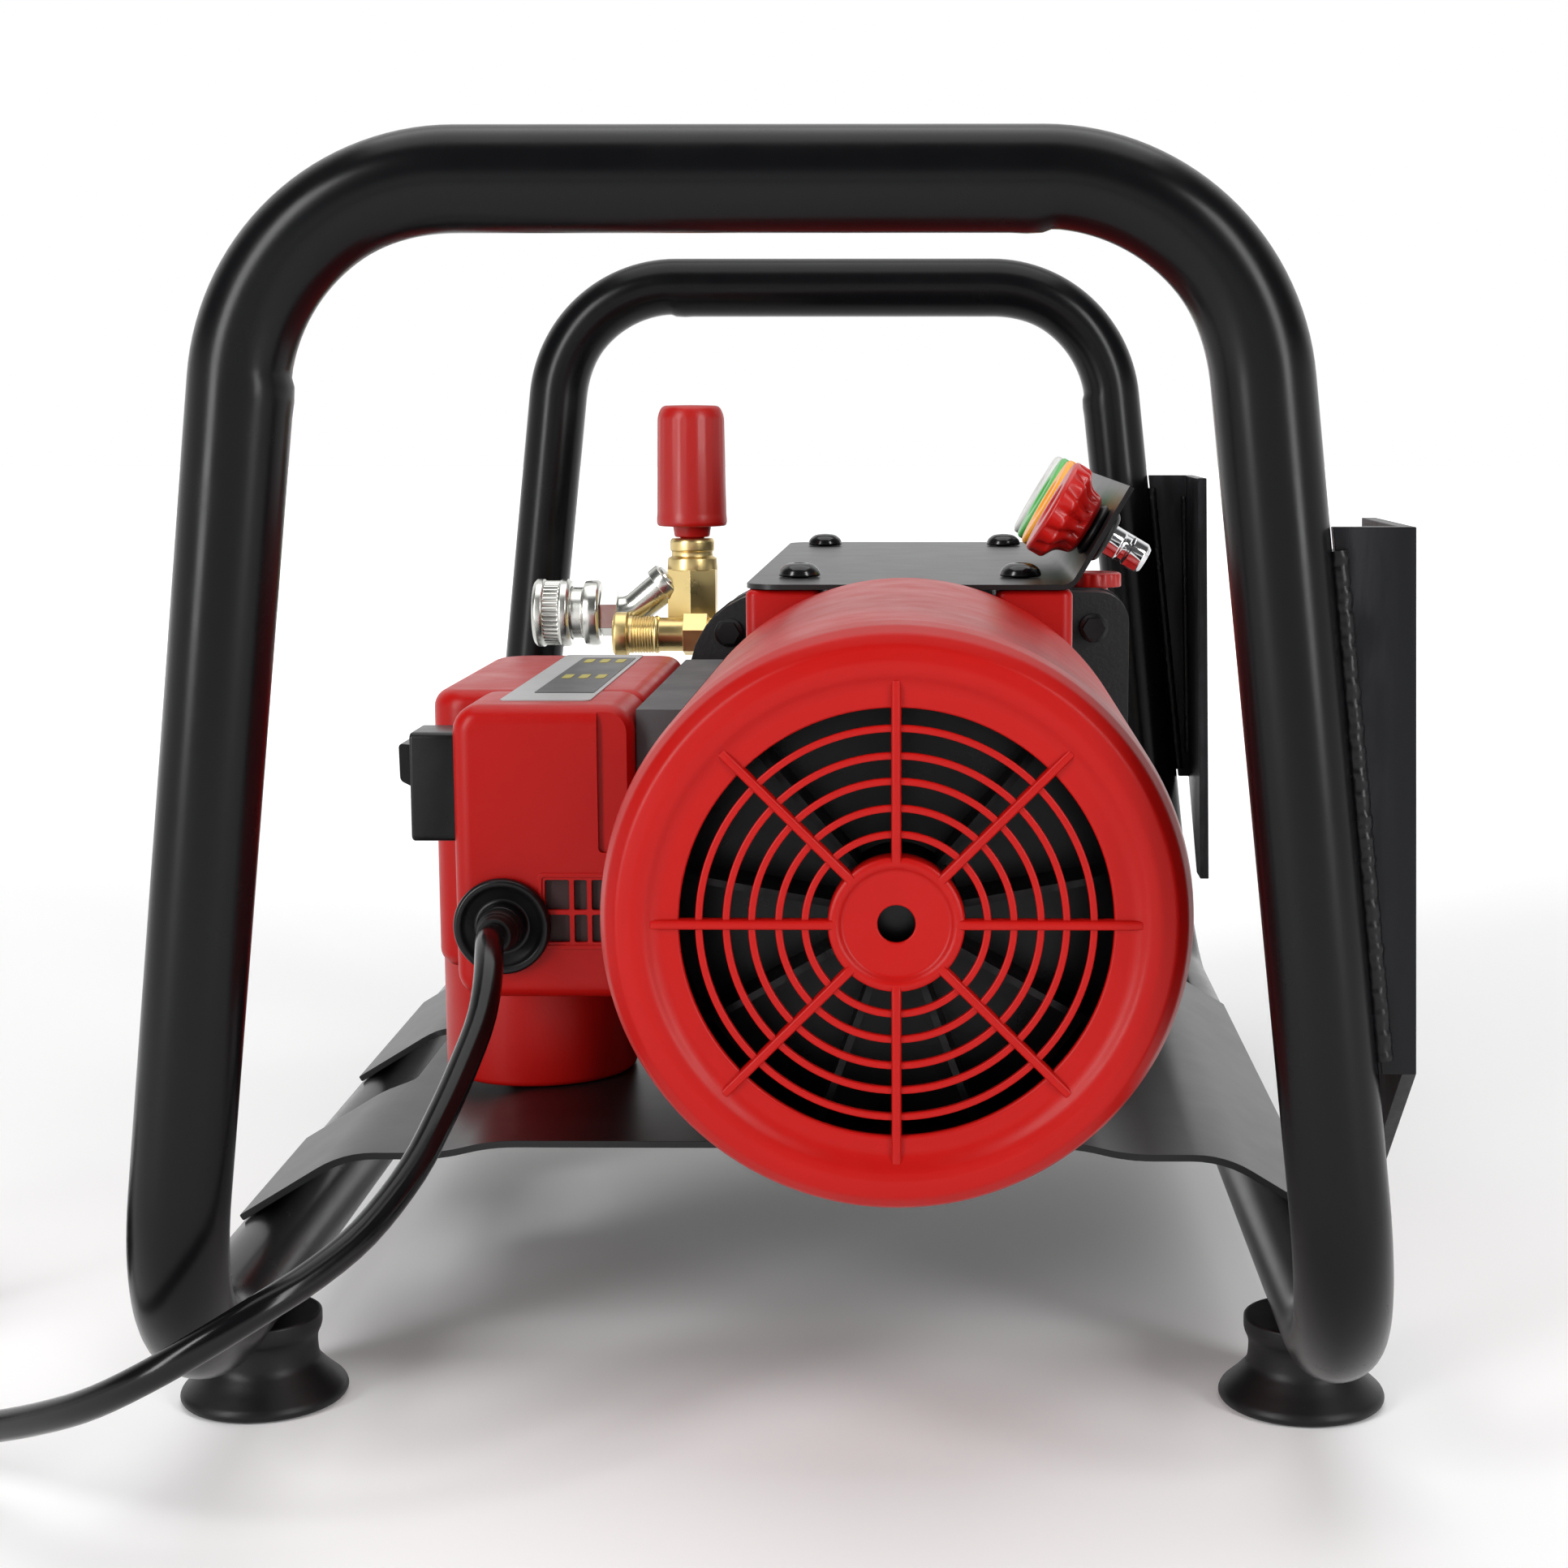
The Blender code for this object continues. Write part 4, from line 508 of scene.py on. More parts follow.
def moved(bm, matrix):
    bmesh.ops.transform(bm, matrix=matrix, verts=bm.verts)
    return bm


# ======================================================================= mains cord
CORD_ROUTE = (
    (GLAND_X, -0.1676, GLAND_Z),
    (GLAND_X, -0.1760, GLAND_Z),
    (-0.0878, -0.1860, 0.1404),
    (-0.0864, -0.1975, 0.1345),
    (-0.0866, -0.2100, 0.1258),
    (-0.0892, -0.2240, 0.1162),
    (-0.0930, -0.2395, 0.1056),
    (-0.0985, -0.2560, 0.0940),
    (-0.1080, -0.2740, 0.0825),
    (-0.1185, -0.2885, 0.0755),
    (-0.1300, -0.3000, 0.0700),
    (-0.1450, -0.3065, 0.0618),
    (-0.1600, -0.3060, 0.0530),
    (-0.1770, -0.2985, 0.0430),
    (-0.1950, -0.2865, 0.0340),
    (-0.2150, -0.2710, 0.0250),
    (-0.2370, -0.2530, 0.0160),
    (-0.2600, -0.2425, 0.0090),
    (-0.2830, -0.2345, 0.0057),
    (-0.3060, -0.2290, 0.0048),
    (-0.3290, -0.2258, 0.0047),
    (-0.3520, -0.2246, 0.0047),
)
COIL_PITCH = 0.0090        # between neighbouring turns and between layers
COIL_LOW_Z = 0.0060        # centre of the lowest layer
COIL_COLUMNS = 4
COIL_HEIGHT = 0.0385
COIL_TURNS = 13
PLUG_R = 0.0530            # the plug lies on the coil at this radius
PLUG_START = -0.0250       # its cord end, along Y from the coil's centre
PLUG_L, PLUG_W, PLUG_H = 0.0420, 0.0300, 0.0260
PLUG_NECK = 0.0100


def smoothstep(t):
    t = min(max(t, 0.0), 1.0)
    return t * t * (3 - 2 * t)


def catmull(route, spacing):
    route = [Vector(p) for p in route]
    dense = []
    for i in range(len(route) - 1):
        p0, p1, p2, p3 = route[max(i - 1, 0)], route[i], route[i + 1], route[min(i + 2, len(route) - 1)]
        for k in range(24):
            t = k / 24
            dense.append(0.5 * ((2 * p1) + (p2 - p0) * t + (2 * p0 - 5 * p1 + 4 * p2 - p3) * t ** 2
                                + (3 * p1 - p0 - 3 * p2 + p3) * t ** 3))
    dense.append(route[-1])
    return resample(dense, spacing)


def path_length(points):
    return sum((b - a).length for a, b in zip(points, points[1:]))


def resample(points, spacing):
    total = path_length(points)
    count = max(2, round(total / spacing))
    result, index, walked = [], 0, 0.0
    for k in range(count + 1):
        target = total * k / count
        while index < len(points) - 2 and walked + (points[index + 1] - points[index]).length < target:
            walked += (points[index + 1] - points[index]).length
            index += 1
        span = (points[index + 1] - points[index]).length
        t = 0.0 if span < 1e-9 else min(max((target - walked) / span, 0.0), 1.0)
        result.append(points[index].lerp(points[index + 1], t))
    return result


def lane_of(turn):
    """(column, layer) of a whole turn: in along the first layer, out along the second, and so on."""
    layer, place = divmod(turn, COIL_COLUMNS)
    column = COIL_COLUMNS - 1 - place if layer % 2 == 0 else place
    return column, layer


def coil_path(inner_r):
    """From the end of the route round the coil and up to the plug's neck."""
    outer = inner_r + COIL_PITCH * (COIL_COLUMNS - 1)
    route_end = Vector(CORD_ROUTE[-1])
    lead_r = math.hypot(route_end.x - COIL_X, route_end.y - COIL_Y)
    lead_a = math.atan2(route_end.y - COIL_Y, route_end.x - COIL_X)
    neck = Vector((COIL_X - PLUG_R, COIL_Y + PLUG_START - PLUG_NECK, COIL_HEIGHT + GAP + PLUG_H / 2))
    neck_a = math.atan2(neck.y - COIL_Y, neck.x - COIL_X)
    sweep_total = COIL_TURNS * 2 * math.pi + ((lead_a - neck_a) % (2 * math.pi))
    last = lane_of(COIL_TURNS)
    rise = math.radians(95.0)
    lead_in = math.radians(60.0)
    steps = 1400
    points = []
    for i in range(1, steps + 1):
        gone = sweep_total * i / steps
        turn = int(gone / (2 * math.pi))
        inside = gone - turn * 2 * math.pi
        here, there = lane_of(turn), lane_of(turn + 1)
        climb = smoothstep((inside - math.radians(230)) / math.radians(50)) if here[1] != there[1] else 0.0
        step = smoothstep((inside - math.radians(290)) / math.radians(55)) if here[0] != there[0] else 0.0
        radius = inner_r + COIL_PITCH * (here[0] + (there[0] - here[0]) * step)
        z = COIL_LOW_Z + COIL_PITCH * (here[1] + (there[1] - here[1]) * climb)
        if gone < lead_in:
            t = smoothstep(gone / lead_in)
            radius = lead_r + (outer - lead_r) * t
            z = route_end.z + (COIL_LOW_Z - route_end.z) * t
        left = sweep_total - gone
        if left < rise:
            t = smoothstep(1 - left / rise)
            neck_r = math.hypot(neck.x - COIL_X, neck.y - COIL_Y)
            radius += (neck_r - (inner_r + COIL_PITCH * last[0])) * t
            z += (neck.z - (COIL_LOW_Z + COIL_PITCH * last[1])) * t
        a = lead_a - gone
        points.append(Vector((COIL_X + radius * math.cos(a), COIL_Y + radius * math.sin(a), z)))
    points.append(neck)
    return points


def cord_points():
    """The route, then the coil, whose inner radius is found so that the whole is CORD_LENGTH long."""
    lead = [Vector(CORD_ROUTE[0])] + catmull(CORD_ROUTE[1:], 0.006)
    low, high = 0.030, 0.052
    for _ in range(40):
        middle = (low + high) / 2
        if path_length(lead) + path_length(coil_path(middle)) < CORD_LENGTH:
            low = middle
        else:
            high = middle
    return lead, resample([lead[-1]] + coil_path(low), 0.0062)[1:], low


def mains_cord():
    lead, wound, inner = cord_points()
    curve = bpy.data.curves.new("power_cord_look", 'CURVE')
    curve.dimensions = '3D'
    curve.bevel_depth = CORD_R
    curve.bevel_resolution = 6
    curve.use_fill_caps = True
    spline = curve.splines.new('POLY')
    points = lead + wound
    spline.points.add(len(points) - 1)
    for place, point in zip(spline.points, points):
        place.co = (*point, 1.0)
    cord = bpy.data.objects.new("power_cord_look", curve)
    curve.materials.append(JACKET)
    SCENE.collection.objects.link(cord)
    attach(cord, "chassis")
    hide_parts("power_cord", "cord_coil")
    relief = strain_relief()
    plug, pins = mains_plug()
    tie = cord_tie(inner)


def strain_relief():
    """Tapered boot at the gland."""
    boot = lathe(((0, -0.0120), (CORD_R + 0.0002, -0.0120), (CORD_R + 0.0002, 0.0073), (0.0070, 0.0073),
                  (0.0067, 0.0110), (0.0061, 0.0120), (0.0061, 0.0132), (0.0056, 0.0142), (0.0054, 0.0174),
                  (0, 0.0174)), 48, 0.0005)
    return stand_in("strain_relief", boot, RUBBER, slot="cord_rubber",
                    matrix=along((0, -1, 0), (GLAND_X, BOX_Y0, GLAND_Z)))


def mains_plug():
    """Moulded plug with a grip waist, lying on the coil."""
    x = COIL_X - PLUG_R
    low = COIL_HEIGHT + GAP
    middle = low + PLUG_H / 2
    y0 = COIL_Y + PLUG_START
    rings = []
    profile = ((0.0, 0.42), (0.002, 0.60), (0.008, 0.70), (0.014, 0.66), (0.020, 0.74), (0.027, 0.96),
               (0.033, 1.0), (PLUG_L - 0.0015, 1.0), (PLUG_L, 0.94))
    for along_y, size in profile:
        half_w, half_h = PLUG_W / 2 * size, PLUG_H / 2 * size
        outline = rectangle(-half_w, half_w, -half_h, half_h, min(half_w, half_h) * 0.55, 6)
        rings.append([(x + u, y0 + along_y, middle + v) for u, v in outline])
    body = loft(rings)
    neck_rings = []
    for k in range(7):
        t = k / 6
        r = 0.0052 + 0.0016 * t + (0.0004 if k % 2 else 0.0)
        y = y0 - PLUG_NECK + (PLUG_NECK + 0.001) * t
        neck_rings.append([(u, y, v) for u, v in circle(x, middle, r, 32)])
    plug = stand_in("mains_plug", merge(body, loft(neck_rings)), RUBBER, slot="cord_rubber", bevel=0.0005)
    pins = bmesh.new()
    for side in (-1, 1):
        profile = ((0, -0.002), (0.0024, -0.002), (0.0024, 0.0178), (0.0014, 0.0190), (0, 0.0190))
        pin = lathe(profile, 32, 0.0003)
        merge(pins, moved(pin, along((0, 1, 0), (x + side * 0.0095, y0 + PLUG_L, middle))))
    return plug, finish_mesh("mains_plug_pins", pins, CHROME, slot="chrome")


def cord_tie(inner):
    """A tie round the bundle of turns."""
    r0, r1 = inner - CORD_R - 0.0008, inner + 3 * COIL_PITCH + CORD_R + 0.0008
    z1 = COIL_LOW_Z + 3 * COIL_PITCH + CORD_R + 0.0006
    outer = rectangle(r0 - 0.0010, r1 + 0.0010, 0.0002, z1 + 0.0008, 0.006, 6)
    hole = rectangle(r0, r1, 0.0012, z1, 0.0052, 6)
    strap = bmesh.new()
    width = 0.0045
    rows = []
    for outline, y in ((outer, -width), (outer, width), (hole, width), (hole, -width)):
        rows.append([strap.verts.new((u, y, v)) for u, v in outline])
    for a, b in zip(rows, rows[1:] + rows[:1]):
        for i in range(len(a)):
            j = (i + 1) % len(a)
            strap.faces.new((a[i], a[j], b[j], b[i]))
    turn = Matrix.Translation((COIL_X, COIL_Y, 0)) @ Matrix.Rotation(math.radians(20), 4, 'Z')
    return finish_mesh("cord_tie", strap, BLACK, slot="black_plastic", bevel=0.0003, matrix=turn)


mains_cord()


# ======================================================================= roll frame
def flatten_bend(vert, bend_x, turn):
    """The inner side of a top bend is pressed flat, and ends in a small step on the side it was bent from."""
    side = 1 if vert.co.x > 0 else -1
    u, v = side * vert.co.x - bend_x, vert.co.z - (TOP_Z - TOP_BEND_R)
    length = turn * TOP_BEND_R
    angle = math.atan2(u, v)
    if u < 0:
        place, inner, away = u, TOP_BEND_R - v, (0.0, 1.0)
    elif angle <= turn:
        distance = math.hypot(u, v)
        place, inner, away = angle * TOP_BEND_R, TOP_BEND_R - distance, (u / distance, v / distance)
    else:
        away = (math.sin(turn), math.cos(turn))
        du, dv = u - TOP_BEND_R * away[0], v - TOP_BEND_R * away[1]
        place, inner = length + du * away[1] - dv * away[0], -(du * away[0] + dv * away[1])
    if inner <= 0:
        return
    from_step = length - place if side * vert.co.y > 0 else place
    pressed = smoothstep((from_step + 0.0010) / 0.0045) * smoothstep((length - from_step) / 0.035)
    lip = 0.00025 * math.exp(-((from_step + 0.0030) / 0.0026) ** 2)
    move = (0.0010 * pressed - lip) * smoothstep(inner / TUBE_R)
    vert.co.x += side * move * away[0]
    vert.co.z += move * away[1]


def roll_frame():
    """One bent tube: two hoops whose legs run into the side rails."""
    down = Vector((LEG_SPLAY, 0, -1)).normalized()
    turn = math.pi / 2 - math.atan(LEG_SPLAY)
    reach = TOP_BEND_R * math.tan(turn / 2)
    rail_x = leg_x(RAIL_Z)
    spacing = 0.004

    def quarter(sign_x, sign_y):
        """From the middle of a top bar down to the start of the rail."""
        y = sign_y * HOOP_Y
        start = Vector((leg_x(TOP_Z) - reach, y, TOP_Z))
        centre = start + Vector((0, 0, -TOP_BEND_R))
        points = [Vector((0, y, TOP_Z))] + straight(Vector((0, y, TOP_Z)), start, spacing)
        points += arc(centre, Vector((0, 0, 1)), Vector((1, 0, 0)), TOP_BEND_R, turn, 30)
        back = Vector((0, -sign_y, 0))
        foot = Vector((rail_x, y, RAIL_Z))
        bend_start = foot - down * BOTTOM_BEND_R
        points += straight(points[-1], bend_start, spacing)
        points += arc(bend_start + back * BOTTOM_BEND_R, -back, down, BOTTOM_BEND_R, math.pi / 2, 22)
        return [Vector((sign_x * p.x, p.y, p.z)) for p in points]

    front_right, rear_right = quarter(1, -1), quarter(1, 1)
    front_left, rear_left = quarter(-1, -1), quarter(-1, 1)
    loop = front_right + straight(front_right[-1], rear_right[-1], spacing) + rear_right[::-1]
    loop += rear_left[1:] + straight(rear_left[-1], front_left[-1], spacing) + front_left[:0:-1]
    bm = sweep(loop, TUBE_R, 40, closed=True)
    for vert in bm.verts:
        if vert.co.z > 0.25:
            flatten_bend(vert, leg_x(TOP_Z) - reach, turn)
    tubes = [end + "_top_bar" for end in ("front", "rear")]
    tubes += [end + "_leg_" + side for end in ("front", "rear") for side in ("left", "right")]
    tubes += ["rail_left", "rail_right"]
    finish_mesh("roll_frame", bm, COAT, slot="frame_coat", replaces=tubes)


def feet():
    """Rubber suction feet."""
    for end in ("front", "rear"):
        for side in ("left", "right"):
            node = "foot_" + end + "_" + side
            low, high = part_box(node)
            middle = (low + high) / 2
            top = high[2]
            lip = (high[1] - low[1]) / 2
            profile = ((0.0, 0.0036), (lip - 0.010, 0.0026), (lip - 0.0045, 0.0002), (lip - 0.0008, 0.0),
                       (lip, 0.0016), (lip - 0.0007, 0.0034), (lip - 0.0052, 0.0075),
                       (lip - 0.0088, 0.0116), (0.0166, 0.0150), (0.0166, top - 0.0078),
                       (0.0182, top - 0.0046), (0.0182, top - 0.0004), (0.0172, top), (0.0, top))
            stand_in(node, lathe(profile, 64, 0.0016, 5), RUBBER, slot="black_rubber",
                     matrix=Matrix.Translation((middle[0], middle[1], 0)))


DECK_TOP, DECK_T, DECK_RAISE = 0.0735, 0.0022, 0.0040
DECK_RAISE_HALF, DECK_JOGGLE, DECK_FLAT_HALF = 0.0920, 0.0160, 0.1380
CUP_X, CUP_Y, CUP_R = -0.0898, -0.0720, 0.0330
DECK_NOTCH = (-0.25, -0.1335, -0.082, 0.002)       # x0, x1, y0, y1 of the notch in the left edge


def deck():
    low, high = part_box("deck")
    bottom = DECK_TOP - DECK_T
    rail_x = leg_x(RAIL_Z)
    distance = math.hypot(rail_x - DECK_FLAT_HALF, bottom - RAIL_Z)
    slope = math.atan2(bottom - RAIL_Z, rail_x - DECK_FLAT_HALF) - math.asin((TUBE_R + GAP) / distance)
    run = math.sqrt(distance ** 2 - (TUBE_R + GAP) ** 2) + 0.0020
    joggle = DECK_RAISE_HALF + DECK_JOGGLE
    tip = (DECK_FLAT_HALF + run * math.cos(slope), bottom - run * math.sin(slope))
    lower = ((*tip, 0.0006), (DECK_FLAT_HALF, bottom, 0.010), (joggle, bottom, 0.008),
             (DECK_RAISE_HALF, bottom + DECK_RAISE, 0.008))
    half = math.tan(slope / 2) * DECK_T
    upper = ((tip[0] + DECK_T * math.sin(slope), tip[1] + DECK_T * math.cos(slope), 0.0006),
             (DECK_FLAT_HALF + half, DECK_TOP, 0.010), (joggle, DECK_TOP, 0.008),
             (DECK_RAISE_HALF, DECK_TOP + DECK_RAISE, 0.008))
    mirrored = [(-x, z, r) for x, z, r in lower]
    outline = mirrored + list(reversed(lower)) + list(upper) + [(-x, z, r) for x, z, r in reversed(upper)]
    sheet = prism(rounded_path(outline, 0.004, 6), low[1], high[1])
    plate = stand_in("deck", sheet, SHEET, slot="sheet_coat", matrix=XZ, bevel=0.0005, segments=2)
    notch = rectangle(*DECK_NOTCH, (0.009, 0.009, 0.001, 0.001))
    boolean(plate, prism(notch, 0.02, 0.12))
    boolean(plate, prism(circle(CUP_X, CUP_Y, 0.0138, 40), 0.05, 0.10))


WELD_STEP = 0.0007


def weld_bead(name, points, radius):
    """A welded seam under paint: a bar that swells unevenly."""
    path = resample(points, WELD_STEP)

    def swell(i, a):
        return (0.93 + 0.05 * math.sin(i * 1.13) * math.sin(i * 0.37 + 1.0)
                + 0.05 * math.sin(i * 0.71 + 2.0 * a) * math.sin(i * 0.19))

    bead = sweep(path, radius, 16, scale=swell)
    return finish_mesh(name, bead, WELD, slot="frame_coat")


BRACKET_Y, BRACKET_DEPTH, BRACKET_T = 0.2840, 0.0610, 0.0040
BRACKET_LEAN, BRACKET_CORNER_Z = 0.0040, 0.1300


def brackets():
    for end, sign in (("front", -1), ("rear", 1)):
        node = "bracket_" + end
        low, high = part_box(node)
        outer, lean, t = high[0], BRACKET_LEAN, BRACKET_T
        top, corner_z, bottom = high[2], BRACKET_CORNER_Z, low[2]
        y_face, y_back = sign * BRACKET_Y, sign * (BRACKET_Y - BRACKET_DEPTH)
        x_top = leg_x(top) + TUBE_R + 0.0007
        x_low = leg_x(corner_z) + TUBE_R + 0.0007
        face = ((x_top, top, 0.001), (outer - lean - t / 2, top, 0.001), (outer - t / 2, corner_z, 0.001),
                (x_low, corner_z, 0.001))
        y0, y1 = sorted((y_face, y_face - sign * t))
        plate = prism([p[:2] for p in face], y0, y1)
        angle_iron = stand_in(node, plate, BRACKET, slot="frame_coat", matrix=XZ)
        flange = [(y_face, corner_z), (y_face, top), (y_back, top), (y_back, bottom),
                  (y_back + sign * 0.016, bottom)]
        side = prism(flange, outer - t, outer)
        bmesh.ops.transform(side, matrix=YZ, verts=side.verts)
        for vert in side.verts:
            vert.co.x -= lean / (top - corner_z) * max(vert.co.z - corner_z, 0.0)
        boolean(angle_iron, side, 'UNION')
        soften_edges(angle_iron, 0.0009, 3)
        seam = [Vector((leg_x(z) + TUBE_R + 0.0012, y_face - sign * 0.0002, z))
                for z in (corner_z + 0.004, top - 0.006)]
        weld_bead("weld_" + end + "_face", seam, 0.0032)
        behind = [v + Vector((0.0, -sign * 0.0052, 0.0)) for v in seam]
        weld_bead("weld_" + end + "_back", behind, 0.0022)
        edge = [Vector((outer - t - 0.0006 - lean * k, y_face - sign * (t + 0.0006), z))
                for k, z in ((0.05, corner_z + 0.012), (0.95, top - 0.010))]
        weld_bead("weld_" + end + "_corner", edge, 0.0018)


roll_frame()
feet()
deck()
brackets()


# ======================================================================= cowl and motor
BOSS_X, COWL_STEP_Y = 0.0435, -0.0602
BLADES, FINS, FIN_ROOT_R, FIN_TIP_R, SHELL_BORE_R = 9, 22, 0.0655, 0.0725, 0.0612
Y_TURN = Matrix.Translation((AXIS_X, 0, AXIS_Z)) @ Matrix.Rotation(-math.pi / 2, 4, 'X')


def cowl():
    low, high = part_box("fan_cowl")
    front, rear = low[1], high[1]
    face = front + 0.0030            # the grille's own face, set back from the rim
    back = face + 0.0028
    step, wall = COWL_STEP_Y, COWL_WALL
    drum = ((0.0596, face + 0.0004), (0.0648, face + 0.0002), (0.0668, face - 0.0006),
            (0.0690, front + 0.0008), (0.0722, front), (0.0768, front + 0.0008), (0.0800, front + 0.0038),
            (0.0818, front + 0.0085), (COWL_R, front + 0.0160), (COWL_R, step - 0.0035),
            (COWL_R - 0.0012, step - 0.0006), (COWL_REAR_R + 0.0012, step + 0.0002),
            (COWL_REAR_R, step + 0.0022), (COWL_REAR_R, rear - 0.0016), (COWL_REAR_R - 0.0010, rear),
            (COWL_REAR_R - wall, rear), (COWL_REAR_R - wall, step - wall),
            (COWL_R - wall, step - wall - 0.002), (COWL_R - wall, front + 0.016), (0.0770, front + 0.0068),
            (0.0722, front + 0.0044), (0.0680, back), (0.0596, back))
    bm = lathe(drum, 144, 0.0010, 5)
    for r in GRILLE_RINGS:
        band = ((r - RING_HALF, face), (r + RING_HALF, face),
                (r + RING_HALF * 0.8, back), (r - RING_HALF * 0.8, back))
        merge(bm, lathe(band, 120, 0.0006, 3))
    hub = ((0.0052, face + 0.0012), (0.0148, face + 0.0010), (0.0160, face - 0.0002),
           (0.0172, face - 0.0006), (0.0188, face), (0.0190, back + 0.004), (0.0168, back + 0.004),
           (0.0160, back + 0.0004), (0.0058, back + 0.0002), (0.0052, back - 0.0004))
    merge(bm, lathe(hub, 96, 0.0007, 4))
    for k in range(SPOKES):
        spoke = []
        for y, half in ((face - 0.0011, 0.45), (face - 0.0009, 0.75), (face - 0.0003, 0.95), (back, 1.0),
                        (back + 0.0012, 0.85)):
            spoke.append((y, SPOKE_HALF * half))
        outline = [(-h, y) for y, h in spoke] + [(h, y) for y, h in reversed(spoke)]
        rings = []
        for r, drop, width in ((0.0172, 0.0006, 1.0), (0.0200, 0.0, 1.0), (0.0400, 0.0, 1.0),
                               (0.0600, 0.0, 1.0), (0.0645, 0.0, 1.0), (0.0672, 0.0, 1.0)):
            rings.append([(u * width, -r, max(v, face - 0.0011 + drop)) for u, v in outline])
        bar = loft(rings)
        merge(bm, moved(bar, Matrix.Rotation(2 * math.pi * k / SPOKES, 4, 'Z')))
    stand_in("fan_cowl", bm, RED, slot="red_plastic", matrix=Y_TURN, angle=40)
    # the two bosses that carry the top plate
    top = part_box("top_plate")[0][2] - GAP
    for sign, label in ((-1, "left"), (1, "right")):
        middle = PLATE_X + sign * BOSS_X
        lift = AXIS_Z + 0.048
        boss = pillow(middle - 0.0135, middle + 0.0135, step + 0.003, rear - 0.003, 0.004, lift, top, 0.0022,
                      at_low=False)
        finish_mesh("cowl_boss_" + label, boss, RED, slot="red_plastic")


def fan():
    """Paddle fan behind the grille."""
    low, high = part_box("cooling_fan")
    y0, y1 = low[1], high[1]
    hub = lathe(((0.0088, y0), (0.0150, y0), (0.0170, y0 + 0.003), (0.0170, y1 - 0.003),
                 (0.0640, y1 - 0.003), (0.0640, y1 - 0.001), (0.0088, y1 - 0.001)), 72, 0.0008)
    for k in range(BLADES):
        rings = []
        for r, c in ((0.0160, 0.0), (0.0300, 0.0), (0.0560, 0.001), (0.0664, 0.006)):
            section = ((-0.0010, y0 + c), (0.0010, y0 + c), (0.0010, y1 - 0.002), (-0.0010, y1 - 0.002))
            rings.append([(u, -r, y) for u, y in section])
        merge(hub, moved(loft(rings), Matrix.Rotation(2 * math.pi * k / BLADES, 4, 'Z')))
    stand_in("cooling_fan", hub, BLACK, body="drive", slot="black_plastic", matrix=Y_TURN)
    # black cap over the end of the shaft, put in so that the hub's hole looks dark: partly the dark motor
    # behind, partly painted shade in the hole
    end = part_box("motor_shaft")[0][1]
    cap = lathe(((0, end - 0.0014), (0.0096, end - 0.0014), (0.0104, end - 0.0006), (0.0104, y0 - 0.0002),
                 (0.0086, y0 - 0.0002), (0.0086, end - 0.0002), (0, end - 0.0002)), 48, 0.0004)
    finish_mesh("shaft_cap_painted_shade", cap, BLACK, body="drive", slot="black_plastic", matrix=Y_TURN)


def hex_bolt(size, height, at, axis, washer=True):
    """A hexagon head with a chamfer and a washer, standing on a face."""
    bm = prism(circle(0, 0, size / math.sqrt(3), 6), 0.0008 if washer else 0.0, height)
    if washer:
        merge(bm, lathe(((0, 0), (size * 0.72, 0), (size * 0.72, 0.0009), (0, 0.0009)), 32, 0.0002))
    return moved(bm, along(axis, at))


def socket_bolt(radius, height, at, axis):
    """A cap screw with its hexagon socket."""
    rim, key = radius, radius * 0.5
    floor = height * 0.45
    bm = lathe(((key, height), (rim, height), (rim, 0), (0, 0), (0, floor), (key, floor)), 36, 0.0003)
    return moved(bm, along(axis, at))


def motor():
    low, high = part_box("motor_shell")
    y0, y1 = low[1], high[1]
    outline = []
    for i in range(FINS):
        middle = 2 * math.pi * (i + 0.5) / FINS
        pitch = math.pi / FINS
        for radius, offset, own in ((FIN_ROOT_R, -0.42, 0.0012), (FIN_TIP_R, -0.20, 0.0008),
                                    (FIN_TIP_R, 0.20, 0.0008), (FIN_ROOT_R, 0.42, 0.0012)):
            a = middle + offset * pitch
            outline.append((AXIS_X + radius * math.sin(a), AXIS_Z + radius * math.cos(a), own))
    shell = stand_in("motor_shell", prism(rounded_path(outline, 0.001, 3), y0, y1), CAST, slot="dark_cast",
                     matrix=XZ, bevel=0.0006, segments=2)
    boolean(shell, moved(prism(circle(AXIS_X, AXIS_Z, SHELL_BORE_R, 72), y0 - 0.01, y1 + 0.01), XZ))
    for node, look in (("motor_end_bell", CAST), ("bearing_front", STEEL), ("bearing_rear", STEEL),
                       ("stator", LAMINATION), ("rotor", LAMINATION), ("motor_shaft", STEEL),
                       ("swash_plate", STEEL)):
        NODES[node].material_slots[0].material = look
        soften_edges(NODES[node], 0.0004, 2)
    # saddle with its bolts
    NODES["motor_saddle"].material_slots[0].material = CAST
    soften_edges(NODES["motor_saddle"], 0.0012, 3)
    low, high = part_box("motor_saddle")
    bolts = bmesh.new()
    for x in (low[0] + 0.007, high[0] - 0.007):
        for y in (low[1] + 0.012, high[1] - 0.012):
            merge(bolts, hex_bolt(0.0080, 0.0060, (x, y, low[2] + 0.0080), (0, 0, 1)))
    finish_mesh("saddle_bolts", bolts, STEEL, slot="steel", bevel=0.0003)


cowl()
fan()
motor()


# ======================================================================= pump, valve, outlet
CASE_BOTTOM, CASE_FOOT_X, HEAD_TOP = 0.0815, 0.040, 0.2270
OIL_CAP_AT, SIGHT_AT, INLET_AT = (0.1125, 0.0980), (0.0980, 0.1350), (0.180, 0.135)


